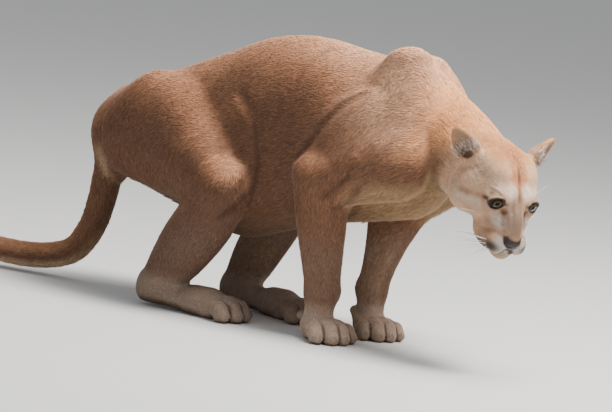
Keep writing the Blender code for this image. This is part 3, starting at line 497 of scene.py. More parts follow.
def fore_leg(f, s, top, joint, elbow, wrist, ball, yaw, size, foot, arm):
    out = vec(0, s, 0)
    # shoulder blade and its muscles
    rows = []
    for t, w, d in ((0.0, 0.034, 0.052), (0.3, 0.038, 0.066), (0.65, 0.043, 0.068), (1.0, 0.048, 0.062)):
        c = top + (joint - top) * t
        rows.append([*c, w, d, d])
    f.add(Tube(rows, vec(1, 0, 0), cap=0.8), 0.035)
    f.add(Ball(joint + (0.004, s * 0.002, 0.002), (0.058, 0.046, 0.062), turn(0, 0.3, 0)), 0.030)
    # upper arm with the big muscle behind it
    a = joint + (elbow - joint) * 0.12
    f.add(Tube([[*a, 0.046, 0.058, 0.058], [*(joint * 0.5 + elbow * 0.5), 0.048, 0.060, 0.060],
                [*elbow, 0.042, 0.052, 0.052]], vec(0.5, 0, -0.8), cap=0.8), 0.030)
    mid = top * 0.30 + elbow * 0.62 + joint * 0.08 + vec(-0.012, s * 0.006, 0)
    d = unit(elbow - top)
    f.add(Ball(mid, vec(0.108, 0.040, 0.058) * size, np.stack([d, unit(np.cross(vec(0, 1, 0), d)) * 0 + out, unit(np.cross(d, out))], 1)), 0.028)
    f.add(Ball(elbow + (-0.018, 0, 0.010), vec(0.030, 0.028, 0.032) * size), 0.022)
    # forearm
    ax = wrist - elbow
    rows = []
    for t, (w, fr, bk) in zip((0.0, 0.22, 0.45, 0.70, 0.90, 1.0), arm):
        c = elbow + ax * t
        rows.append([*c, w, fr, bk])
    f.add(Tube(rows, vec(1, 0, 0), power=2.2), 0.022)
    paw(f, wrist, ball, yaw, foot, 0.036)


def hind_leg(f, s, hip, knee, shank, hock, ball, yaw, flat):
    out = vec(0, s, 0)
    th = knee - hip
    n = unit(np.cross(out, th))
    n = n if n[2] > 0 else -n
    rows = []
    for t, w, fr, bk in ((-0.10, 0.050, 0.085, 0.090), (0.2, 0.060, 0.100, 0.105), (0.5, 0.061, 0.088, 0.092),
                         (0.78, 0.054, 0.064, 0.066), (1.0, 0.045, 0.046, 0.048)):
        c = hip + th * t
        rows.append([*c, w, fr, bk])
    f.add(Tube(rows, n, cap=0.8), 0.035)
    sh = vec(*shank[-1][:3]) - knee
    n = unit(np.cross(sh, out))
    n = n if n[0] > 0 else -n
    f.add(Tube([list(r) for r in shank], n, cap=0.9), 0.028)
    # foot behind the toes
    mt = ball - hock
    rows = []
    for t, w, up_, dn in ((-0.04, 0.027, 0.030, 0.029), (0.25, 0.029, 0.025, 0.027), (0.6, 0.031, 0.022, 0.025),
                          (0.95, 0.034, 0.022, 0.022)):
        c = hock + mt * t + vec(0, 0, 0.024) * t
        rows.append([*c, w, up_, dn])
    f.add(Tube(rows, vec(0, 0, 1) if flat else vec(0.6, 0, 1), cap=0.8), 0.016)
    paw(f, hock * 0.25 + (ball + vec(0, 0, 0.026)) * 0.75, ball, yaw, 1.0, 0.034, hind=True)


def body_form():
    f = Form()
    # trunk: x, y, top, bottom, half width, height of the widest part
    trunk = []
    for x, y, top, low, w, part in (
            (-0.430, 0.000, 0.362, 0.275, 0.045, 0.50), (-0.385, 0.000, 0.405, 0.240, 0.072, 0.48),
            (-0.325, 0.000, 0.446, 0.208, 0.096, 0.46), (-0.255, 0.000, 0.480, 0.185, 0.108, 0.45),
            (-0.185, 0.000, 0.511, 0.163, 0.113, 0.45), (-0.115, 0.000, 0.542, 0.152, 0.118, 0.45),
            (-0.045, 0.000, 0.557, 0.173, 0.122, 0.46), (0.025, 0.000, 0.557, 0.196, 0.122, 0.47),
            (0.095, 0.000, 0.547, 0.214, 0.117, 0.48), (0.165, 0.000, 0.541, 0.229, 0.108, 0.48),
            (0.230, -0.004, 0.534, 0.254, 0.092, 0.50)):
        z = low + (top - low) * part
        trunk.append([x, y, z, w, top - z, z - low])
    f.add(Stack(trunk, cap=0.05, power=2.1), 0.02)
    neck = [(0.205, 0.000, 0.410, 0.090, 0.118, 0.120), (0.262, -0.012, 0.405, 0.086, 0.104, 0.110),
            (0.316, -0.032, 0.394, 0.080, 0.092, 0.094), (0.366, -0.056, 0.379, 0.074, 0.082, 0.080),
            (0.412, -0.080, 0.361, 0.066, 0.072, 0.068)]
    f.add(Tube(neck, vec(0, 0, 1), cap=0.6, power=2.0, step=0.004), 0.045)
    # rump, brisket
    f.add(Ball((-0.380, 0.0, 0.322), (0.085, 0.085, 0.085), turn(0, -0.5, 0)), 0.06)
    f.add(Ball((0.215, -0.005, 0.322), (0.080, 0.075, 0.070)), 0.04)
    # tail
    tail = [(-0.400, 0.000, 0.345, 0.042), (-0.436, 0.002, 0.300, 0.037), (-0.455, 0.006, 0.240, 0.033),
            (-0.466, 0.008, 0.175, 0.031), (-0.484, 0.008, 0.112, 0.0298), (-0.522, 0.004, 0.060, 0.0288),
            (-0.592, -0.006, 0.039, 0.0280), (-0.680, -0.018, 0.038, 0.0275), (-0.765, -0.026, 0.048, 0.0270),
            (-0.830, -0.030, 0.073, 0.0245), (-0.864, -0.030, 0.100, 0.019)]
    f.add(Tube([[x, y, z, r, r, r] for x, y, z, r in tail], vec(0, 1, 0), cap=1.0, step=0.01), 0.05)
    # legs
    fore_leg(f, -1, vec(0.214, -0.050, 0.534), vec(0.238, -0.100, 0.352), vec(0.090, -0.108, 0.302),
             vec(0.107, -0.089, 0.095), vec(0.113, -0.092, 0.0), math.radians(-26), 1.0, 0.98,
             ((0.044, 0.056, 0.058), (0.045, 0.055, 0.057), (0.041, 0.049, 0.052), (0.037, 0.041, 0.043),
              (0.035, 0.036, 0.037), (0.035, 0.035, 0.036)))
    fore_leg(f, 1, vec(0.198, 0.048, 0.512), vec(0.258, 0.100, 0.342), vec(0.150, 0.094, 0.255),
             vec(0.131, 0.058, 0.092), vec(0.144, 0.048, 0.0), math.radians(-34), 0.96, 0.94,
             ((0.042, 0.058, 0.058), (0.042, 0.054, 0.056), (0.037, 0.042, 0.045), (0.032, 0.034, 0.036),
              (0.030, 0.031, 0.032), (0.030, 0.031, 0.032)))
    hind_leg(f, -1, vec(-0.320, -0.062, 0.358), vec(-0.107, -0.122, 0.258),
             ((-0.107, -0.122, 0.258, 0.045, 0.046, 0.050), (-0.140, -0.115, 0.196, 0.046, 0.058, 0.066),
              (-0.188, -0.104, 0.134, 0.042, 0.058, 0.062), (-0.225, -0.095, 0.088, 0.037, 0.050, 0.052),
              (-0.258, -0.088, 0.050, 0.031, 0.040, 0.038)),
             vec(-0.272, -0.088, 0.034), vec(-0.124, -0.090, 0.0), math.radians(-3), True)
    hind_leg(f, 1, vec(-0.318, 0.060, 0.352), vec(-0.086, 0.118, 0.260),
             ((-0.086, 0.118, 0.260, 0.045, 0.046, 0.050), (-0.114, 0.110, 0.194, 0.044, 0.052, 0.056),
              (-0.142, 0.100, 0.131, 0.040, 0.050, 0.053), (-0.161, 0.091, 0.086, 0.036, 0.045, 0.047),
              (-0.177, 0.084, 0.050, 0.031, 0.038, 0.036)),
             vec(-0.188, 0.082, 0.034), vec(-0.044, 0.054, 0.0), math.radians(-12), True)
    head_form(f)
    return f


# ------------------------------------------------------------ places and regions
FLOOR = 0.0018                       # the pads are pressed flat by this much
_lo, _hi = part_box("eye_L")
SHIFT = np.array([(a + b) / 2 for a, b in zip(_lo, _hi)]) - hd(56.0, 35.0, 22.5)
rng = np.random.default_rng(11)


def ramp(a, b, x):
    """0 at a, 1 at b, soft at both ends."""
    t = np.clip((x - a) / (b - a), 0, 1)
    return t * t * (3 - 2 * t)


def units(v):
    return v / np.maximum(np.linalg.norm(v, axis=1), 1e-12)[:, None]


def head_mm(p):
    return ((p - HEAD_AT) @ HEAD_M) * 1000.0


def wave(p, size, seed):
    """Smooth pattern between about -1 and 1, with lumps of about `size`."""
    r = np.random.default_rng(seed)
    out = np.zeros(len(p))
    for k in range(7):
        d = unit(r.normal(size=3)) * (2 * math.pi / (size * r.uniform(0.7, 1.6)))
        e = unit(r.normal(size=3)) * (2 * math.pi / (size * r.uniform(1.4, 3.0)))
        out += np.sin(p @ d + r.uniform(0, 6.28) + 1.3 * np.sin(p @ e + r.uniform(0, 6.28)))
    return out / 3.2


def in_ear(q):
    """How far into the ear (0..1), and how far along it, for head points."""
    a = np.stack([q[:, 0], np.abs(q[:, 1]), q[:, 2]], 1)
    base, tip = vec(-40, 63, 47), vec(-61, 103, 84)
    ax = unit(tip - base)
    t = (a - base) @ ax
    d = np.linalg.norm(a - base - t[:, None] * ax, axis=1)
    return ramp(1.0, 12.0, t) * (1 - ramp(32, 40, d)), t / float(np.linalg.norm(tip - base))


def nose_pad(q):
    """The bare nose: front of the muzzle, tapering to the lip."""
    half = np.interp(q[:, 2], [-60, -45, -38, -33, -26, -18, -14], [0.5, 2.0, 6.5, 12.5, 17.5, 17.0, 12])
    return (1 - ramp(0, 2.4, np.abs(q[:, 1]) - half)) * ramp(102, 106, q[:, 0] + 0.25 * np.abs(q[:, 1])) \
        * ramp(-13.5, -16.5, q[:, 2] + 0.35 * (q[:, 0] - 112)) * ramp(-52, -46, q[:, 2])


def regions(p):
    q = head_mm(p)
    x, y, z = p.T
    g = {"q": q}
    r = np.linalg.norm(q - (20, 0, 0), axis=1)
    g["head"] = 1 - ramp(95, 150, r)
    g["face"] = g["head"] * ramp(-60, 50, q[:, 0])
    g["ear"], g["ear_t"] = in_ear(q)
    g["nose"] = nose_pad(q) * (r < 130)
    g["tail"] = ramp(0.415, 0.45, -x)
    legs = (1 - g["tail"]) * (1 - g["head"])
    g["foot"] = (1 - ramp(0.050, 0.085, z)) * legs
    g["leg"] = (1 - ramp(0.15, 0.24, z)) * legs
    e = EYE * 1000
    a = np.stack([q[:, 0], np.abs(q[:, 1]), q[:, 2]], 1)
    g["eye_r"] = np.linalg.norm(a - e, axis=1)
    return g


def depth(p):
    """How far the skin lies under the tips of the coat."""
    g = regions(p)
    d = np.full(len(p), 5.0)
    for k, v in (("leg", 3.0), ("foot", 1.6), ("tail", 4.5), ("head", 3.2), ("face", 1.3)):
        d += (v - d) * g[k]
    d += (0.45 - d) * (1 - ramp(18, 27, g["eye_r"]))
    d += (0.45 - d) * g["ear"]
    d += (0.15 - d) * g["nose"]
    return d / 1000.0


class Skin:
    """The animal's own surface: the form less the depth of its coat."""

    def __init__(self, form):
        self.form = form

    def value(self, p, reach=0.03):
        return self.form.value(p, reach) + depth(p)

    slope = Form.slope


def crease(f, rows, h, w, mirror=True, head=False):
    """A fold pressed in (or a ridge, h > 0) along a line on the surface."""
    for s in ((1, -1) if mirror else (1,)):
        pts = np.array([hd(x, y * s, z) if head else (x, y * s, z) for x, y, z in rows], float)
        f.mark(Line(on_skin(f, pts), 0.003), h / 1000.0, w / 1000.0)


def fine_relief(f):
    for s in (1, -1):
        look = turn(math.radians(20 * s), math.radians(-8), math.radians(-30 * s))
        at = EYE * (1, s, 1) * 1000 + look @ vec(15.5, 0.0, -0.8)
        f.cut(Ball(hd(*at), vec(10.2, 16.4, 10.2) / 1000, HEAD_M @ look), 0.002)
    # trunk: the fold behind the shoulder, over the elbow, and before the thigh
    crease(f, [(0.162, -0.12, 0.479), (0.124, -0.13, 0.455), (0.089, -0.135, 0.411), (0.060, -0.13, 0.369),
               (0.038, -0.12, 0.339)], -8.0, 9.0)
    crease(f, [(0.232, -0.11, 0.470), (0.205, -0.13, 0.420), (0.190, -0.14, 0.375)], -3.5, 14.0)
    crease(f, [(-0.110, -0.13, 0.440), (-0.062, -0.14, 0.380), (-0.047, -0.14, 0.310), (-0.060, -0.14, 0.250)], -7.0, 11.0)
    crease(f, [(0.170, -0.15, 0.330), (0.140, -0.15, 0.300), (0.120, -0.14, 0.285)], -3.0, 7.0)
    crease(f, [(0.190, -0.15, 0.310), (0.160, -0.15, 0.275), (0.135, -0.13, 0.262)], -3.0, 7.0)
    crease(f, [(-0.300, -0.15, 0.270), (-0.240, -0.16, 0.235), (-0.185, -0.15, 0.235)], -4.0, 12.0)
    for k in range(5):
        x = -0.005 - 0.030 * k
        crease(f, [(x + 0.02, -0.13, 0.44 - 0.01 * k), (x, -0.13, 0.36 - 0.01 * k), (x - 0.01, -0.11, 0.28 - 0.012 * k)],
               -1.6, 8.0)
    # neck: loose folds at the throat
    crease(f, [(0.345, -0.10, 0.40), (0.330, -0.10, 0.355), (0.335, -0.07, 0.315)], -3.0, 8.0)
    crease(f, [(0.300, -0.10, 0.42), (0.290, -0.10, 0.360), (0.295, -0.06, 0.300)], -3.0, 9.0)
    # face, in head millimetres
    h = dict(head=True)
    crease(f, [EYE * 1000 + LOOK @ vec(a, b, c) for a, b, c in ((13, -13, 9.5), (14, -4, 12.5), (13, 6, 12.5), (9, 15, 8.5))],
           1.5, 2.6, **h)
    crease(f, [(70, 0, 42), (52, 0, 62), (20, 0, 74), (-8, 0, 80)], -2.6, 3.6, mirror=False, **h)
    crease(f, [(88, 15, 24), (72, 17, 40), (62, 15, 52)], -1.5, 3.4, **h)
    crease(f, [(84, 7, 22), (72, 7, 38), (60, 6, 52)], 1.2, 3.2, **h)
    crease(f, [(78, 21, 20), (68, 26, 38), (54, 36, 43), (38, 47, 40)], 1.3, 2.6, **h)
    crease(f, [(74, 19, 22), (66, 23, 33), (54, 34, 39), (40, 46, 36)], -1.5, 1.5, **h)
    crease(f, [(86, 20, 8), (76, 27, -2), (62, 42, -2), (44, 56, 10)], -1.3, 2.4, **h)
    crease(f, [(90, 20, -4), (78, 32, -12), (60, 46, -12)], -1.2, 3.2, **h)
    crease(f, [(106, 11, -8), (98, 15, -2), (90, 17, 6)], -1.1, 2.6, **h)
    crease(f, [(104, 18, -22), (92, 29, -22), (76, 37, -26), (62, 42, -34)], -1.8, 3.4, **h)
    crease(f, [(106, 14, -62), (92, 20, -68), (74, 24, -72)], -1.2, 3.0, **h)
    for k in range(4):
        crease(f, [(106 - 2 * k, 14, -36 - 4.4 * k), (90, 32, -33 - 4.6 * k), (74, 38.5, -33 - 4.4 * k)], -0.55, 1.1, **h)
    # nose: the wings round the nostrils and the groove below
    crease(f, [(110, 12, -17), (115, 10, -20), (118, 6, -23)], 1.2, 2.0, **h)
    crease(f, [(118, 0, -18), (121, 0, -26), (119, 0, -36)], -1.0, 1.0, mirror=False, **h)


# ------------------------------------------------------------ colours
def rgb(r, g, b):
    c = vec(r, g, b) / 255.0
    return np.where(c <= 0.04045, c / 12.92, ((c + 0.055) / 1.055) ** 2.4)


def over(c, colour, w):
    w = np.clip(w, 0, 1)[:, None]
    c += (np.atleast_2d(colour) - c) * w


def spot(q, at, size, soft=0.4, both=True):
    """1 inside an oval patch of the head, 0 outside."""
    a = np.abs(q[:, 1]) if both else q[:, 1]
    d = np.sqrt(((q[:, 0] - at[0]) / size[0]) ** 2 + ((a - at[1]) / size[1]) ** 2 + ((q[:, 2] - at[2]) / size[2]) ** 2)
    return 1 - ramp(1 - soft, 1 + soft, d)


def stripe(q, rows, width, soft=0.5, both=True):
    """1 along a line on the head, fading to its sides."""
    a = q.copy()
    if both:
        a[:, 1] = np.abs(a[:, 1])
    rows = np.array(rows, float)
    best = np.full(len(q), 1e9)
    for i in range(len(rows) - 1):
        ab = rows[i + 1] - rows[i]
        t = np.clip(((a - rows[i]) @ ab) / float(ab @ ab), 0, 1)
        best = np.minimum(best, np.linalg.norm(a - rows[i] - t[:, None] * ab, axis=1))
    return 1 - ramp(width * (1 - soft), width * (1 + soft), best)


PAWS = (((0.113, -0.092), -26, 0.98, 0.036), ((0.144, 0.048), -34, 0.94, 0.036),
        ((-0.124, -0.090), -3, 1.0, 0.034), ((-0.044, 0.054), -12, 1.0, 0.034))
# lines of the body's folds, along which the coat is darkened as painted shade
FOLD_SHADE_LINES = [Line([(x, 0, z) for x, y, z in rows], 0.005) for rows in (
    [(0.162, 0.125, 0.479), (0.124, 0.13, 0.455), (0.089, 0.13, 0.411), (0.060, 0.125, 0.369), (0.040, 0.118, 0.335)],
    [(-0.062, 0.130, 0.380), (-0.047, 0.130, 0.310), (-0.060, 0.125, 0.250), (-0.095, 0.11, 0.205)],
    [(0.170, 0.135, 0.325), (0.140, 0.135, 0.298), (0.120, 0.13, 0.282)],
    [(0.190, 0.125, 0.300), (0.160, 0.125, 0.272), (0.135, 0.12, 0.258)])]


def toe_shade_and_claw_marks(p):
    """Painted shade in the furrows between the toes, and a dark mark over each claw."""
    out = np.zeros(len(p))
    for at, yaw, k, wide in PAWS:
        c, s = math.cos(math.radians(yaw)), math.sin(math.radians(yaw))
        dx, dy = (p[:, 0] - at[0]) / k, (p[:, 1] - at[1]) / k
        x, y, z = dx * c + dy * s, -dx * s + dy * c, p[:, 2] / k
        here = (x > -0.02) & (x < 0.075) & (np.abs(y) < 0.06) & (z < 0.055)
        for f in (-0.53, 0.0, 0.53):
            yy = f * wide + f * 0.35 * np.maximum(x, 0)
            out = np.maximum(out, here * (1 - ramp(0.0012, 0.0036, np.abs(y - yy))) * ramp(0.004, 0.020, x) * ramp(0.045, 0.036, z))
        for f, tx, o in ((-0.75, 0.046, -0.012), (-0.27, 0.058, -0.003), (0.27, 0.058, 0.003), (0.75, 0.046, 0.012)):
            r = np.sqrt((x - tx) ** 2 + (y - f * wide - o) ** 2 + (z - 0.020) ** 2)
            out = np.maximum(out, here * (1 - ramp(0.003, 0.008, r)) * 0.9)
    return out


def coat_colour_and_painted_light(p, n):
    """Colour of the coat at a place on the body, facing n, with painted shade and painted highlights laid in by place
    and facing.
    """
    g = regions(p)
    q, head = g["q"], g["head"]
    x, y, z = p.T
    up = n[:, 2]
    side = np.where(y > 0, 1.0, -1.0)
    c = np.tile(rgb(186, 130, 94), (len(p), 1))
    lump = wave(p, 0.11, 3)
    # trunk: warm back, greyer brown flank, pale belly; the flank's darkening by facing is partly coat colour and partly
    # painted shade, and the lighter top of the fore back is partly a painted highlight
    over(c, rgb(116, 81, 59), ramp(0.75, 0.05, up + 0.08 * lump) * 0.95)
    over(c, rgb(216, 160, 122), ramp(0.45, 0.95, up) * ramp(-0.15, 0.18, x) * 0.8)
    # painted highlight: the side of the shoulder made lighter
    over(c, rgb(186, 142, 112), ramp(0.06, 0.20, x) * (1 - ramp(0.5, 0.85, up)) * ramp(0.34, 0.44, z) * 0.85)
    over(c, rgb(150, 118, 88), ramp(-0.45, -0.90, up + 0.1 * lump) * (1 - g["leg"]) * ramp(-0.30, -0.18, x) * 0.9)
    over(c, rgb(152, 122, 88), ramp(0.13, 0.22, x) * ramp(-0.30, -0.70, up) * ramp(0.22, 0.26, z) * 0.95)
    # neck: orange nape, cream throat
    over(c, rgb(208, 142, 92), ramp(0.24, 0.32, x) * ramp(-0.1, 0.5, up) * (1 - head))
    # legs: darker, partly coat colour and partly painted shade under the body; pale inside
    inner = ramp(0.15, 0.75, -n[:, 1] * side)
    over(c, rgb(122, 94, 76), g["leg"] * 0.8)
    over(c, rgb(150, 122, 98), g["leg"] * inner * 0.8)
    # painted shade: the rear flank and thigh darkened where they do not face up
    c *= (1 - 0.28 * ramp(0.10, 0.02, x) * ramp(0.95, 0.35, up))[:, None]
    # painted highlight: the shoulder brightened
    c *= (1 + 0.22 * ramp(0.12, 0.20, x) * ramp(0.36, 0.44, z))[:, None]
    # feet; the forefeet made lighter as painted light against the body's shade
    over(c, rgb(146, 126, 110) * (1 + 0.45 * ramp(0.02, 0.08, x))[:, None], g["foot"] * 0.9)
    over(c, rgb(172, 150, 130), g["foot"] * ramp(0.035, 0.015, z) * 0.4)
    over(c, rgb(84, 62, 50), g["foot"] * ramp(-0.3, -0.8, up) * 0.8)
    over(c, rgb(110, 76, 54), (1 - g["leg"]) * 0.18 * ramp(0.3, 1.1, wave(p, 0.035, 5)) * (1 - head))
    # painted shade between the toes, with the dark claw marks
    over(c, c.mean(0) * 0.25, toe_shade_and_claw_marks(p) * 0.85)
    # painted shade along the folds
    for ln in FOLD_SHADE_LINES:
        d = np.full(len(p), 1.0)
        i = np.nonzero((np.abs(p[:, 1]) > 0.065) & (np.abs(n[:, 1]) > 0.3))[0]
        if len(i):
            d[i] = ln(p[i] * (1, 0, 1))
            c[i] *= (1 - 0.40 * (1 - ramp(0.000, 0.010, d[i])))[:, None]
    # tail
    over(c, rgb(150, 108, 76), g["tail"] * ramp(-0.2, 0.5, up) * 0.6)
    over(c, rgb(204, 172, 136), g["tail"] * ramp(-0.2, -0.8, up) * 0.7)
    over(c, rgb(52, 38, 31), ramp(0.795, 0.822, -x + 0.006 * wave(p, 0.02, 8)))
    # head
    h = np.tile(rgb(214, 170, 136), (len(p), 1))
    over(h, rgb(206, 142, 92), ramp(26, 52, q[:, 2] + 0.10 * q[:, 0]) * ramp(58, 30, np.abs(q[:, 1])) * ramp(40, -10, q[:, 0]))
    over(h, rgb(208, 172, 142), spot(q, (14, 48, 38), (46, 30, 30)) * 0.8)                # temple
    over(h, rgb(208, 174, 144), spot(q, (10, 66, -20), (52, 26, 34)) * 0.8)              # cheek
    over(h, rgb(212, 190, 168), ramp(-40, -75, q[:, 2]))                                  # under the jaw
    over(h, rgb(198, 128, 80), stripe(q, [(66, 7, 44), (42, 7, 62), (12, 9, 73), (-30, 12, 77)], 8.5) * 0.85)
    over(h, rgb(92, 58, 40), stripe(q, [(72, 0, 38), (52, 0, 58), (24, 0, 70), (-6, 0, 76)], 3.4, 0.7) * 0.8)
    fleck = ramp(0.35, 0.9, wave(p, 0.006, 21))
    over(h, rgb(92, 58, 40), fleck * spot(q, (0, 4, 76), (46, 12, 14), 0.7) * 0.7)
    over(h, rgb(132, 104, 84), fleck * spot(q, (-12, 56, 42), (34, 24, 26), 0.6) * 0.7)   # peppering before the ear
    over(h, rgb(236, 218, 196), spot(q, (60, 15, 46), (16, 9.5, 15), 0.75) * 0.85)              # pale brow
    over(h, rgb(216, 192, 168), spot(q, (46, 34, 46), (20, 13, 8), 0.7) * 0.5)
    over(h, rgb(124, 102, 88), spot(q, (92, 0, 10), (34, 20, 30), 0.7) * 0.75)
    h *= (1 - 0.22 * ramp(42, 76, q[:, 0]) * ramp(26, 4, q[:, 2]))[:, None]           # bridge
    over(h, rgb(188, 158, 134), stripe(q, [(102, 13, -6), (88, 15, 8), (76, 14, 26)], 6.0, 0.7) * 0.6)
    over(h, rgb(206, 188, 172), spot(q, (82, 30, -4), (20, 13, 12), 0.6) * 0.85)           # under the eye
    over(h, rgb(176, 138, 110), spot(q, (76, 38, -18), (16, 12, 10), 0.6) * 0.75)
    over(h, rgb(150, 104, 74), stripe(q, [(46, 54, 20), (26, 67, 9), (2, 77, -4)], 5.5, 0.8) * 0.55)
    over(h, rgb(222, 204, 184), stripe(q, [(42, 54, 4), (20, 66, -9), (-4, 76, -18)], 6.5, 0.7) * 0.5)
    # muzzle: white pads, black mark behind them, rows of spots, pale chin
    over(h, rgb(204, 192, 182), spot(q, (104, 14, -41), (19, 21, 18), 0.4) * ramp(-16, -26, q[:, 2]))
    over(h, rgb(192, 162, 132), spot(q, (92, 8, -68), (28, 26, 13), 0.5))
    over(h, rgb(44, 34, 31), spot(q, (100, 30, -44), (14, 13, 9.5), 0.5) * 0.9)
    over(h, rgb(96, 76, 66), spot(q, (84, 40, -54), (14, 12, 8), 0.6) * 0.6)
    rows = np.abs(np.sin((q[:, 2] + 36 + 0.30 * (q[:, 0] - 90)) * math.pi / 4.6))
    cols = np.abs(np.sin((q[:, 0] - 0.6 * np.abs(q[:, 1])) * math.pi / 5.6))
    over(h, rgb(40, 31, 29), ramp(0.45, 0.12, rows) * ramp(0.62, 0.30, cols)
         * spot(q, (104, 24, -46), (15, 14, 12), 0.4))
    # dark round the eye, a band over the upper lid that is partly lid colour and partly painted shade from the brow,
    # and the tear line down to the muzzle
    look_d = eye_frame(q)
    over(h, rgb(32, 23, 19), 1 - ramp(1.10, 1.28, look_d))
    # partly lid colour, partly painted shade from the brow
    over(h, rgb(96, 68, 52), stripe(q, [(70, 24, 27), (60, 36, 35), (48, 48, 33)], 3.6, 0.8) * 0.75)
    over(h, rgb(40, 29, 24), stripe(q, [EYE * 1000 + LOOK @ vec(13, -12, -2), EYE * 1000 + LOOK @ vec(12, -17, -6)], 3.6, 0.6) * 0.85)
    over(h, rgb(176, 146, 122), (1 - ramp(1.3, 2.0, look_d)) * ramp(1.05, 1.3, look_d) * 0.4)
    over(h, rgb(58, 42, 35), stripe(q, [(70, 21.5, 13), (77, 20.5, 6), (85, 20, -6)], 3.4, 0.9) * 0.5)
    over(h, rgb(70, 50, 38), stripe(q, [(52, 50, 23), (43, 57, 19)], 3.4, 0.6) * 0.85)
    # mouth
    over(h, rgb(30, 21, 19), stripe(q, [(115, 0, -46), (110, 5, -47), (102, 13, -54), (91, 26, -59), (78, 35, -61), (64, 40, -60)],
                                    6.0, 0.6) * 0.92)
    over(h, rgb(46, 33, 30), stripe(q, [(118, 0, -38), (114, 0, -50)], 2.0, 0.6))
    # ears: dark back with a paler base, dark rim, pale hair inside
    e = g["ear"]
    ys = np.where(q[:, 1] > 0, 1.0, -1.0)[:, None]
    front = units(HEAD_M[:, 0] * 1.0 + ys * HEAD_M[:, 1] * 1.15 + HEAD_M[:, 2] * 0.25)
    into = ramp(0.0, 0.35, (n * front).sum(1))
    over(h, rgb(98, 76, 62), e * (1 - into) * ramp(0.15, 0.6, g["ear_t"]) * 0.85)
    over(h, rgb(126, 106, 94), e * into * (0.80 + 0.15 * wave(p, 0.01, 31)))
    over(h, rgb(70, 54, 46), e * into * ramp(0.45, 0.85, g["ear_t"]) * 0.85)
    over(h, rgb(70, 52, 44), spot(q, (-46, 66, 42), (13, 14, 12), 0.5) * into * 0.75)
    c += (h - c) * head[:, None]
    over(c, rgb(52, 36, 33), g["nose"])
    # nostrils painted near black: painted shade in the openings
    over(c, rgb(16, 10, 9), stripe(q, [(119, 7, -30), (115, 12, -31), (110, 15, -28)], 3.0, 0.4) * (q[:, 0] > 100) * 0.95)
    return c


LOOK = turn(math.radians(20), math.radians(-8), math.radians(-30))


def eye_frame(q):
    """Distance from the eye's opening, 1 at the rim of the lids."""
    a = np.stack([q[:, 0], np.abs(q[:, 1]), q[:, 2]], 1) - EYE * 1000
    b = a @ LOOK
    d = np.sqrt((b[:, 1] / 13.6) ** 2 + (b[:, 2] / 9.6) ** 2)
    d -= 0.16 * ramp(-2, 7, b[:, 2])
    return np.where((b[:, 0] > 0) & (np.linalg.norm(a, axis=1) < 34), d, 9.0)


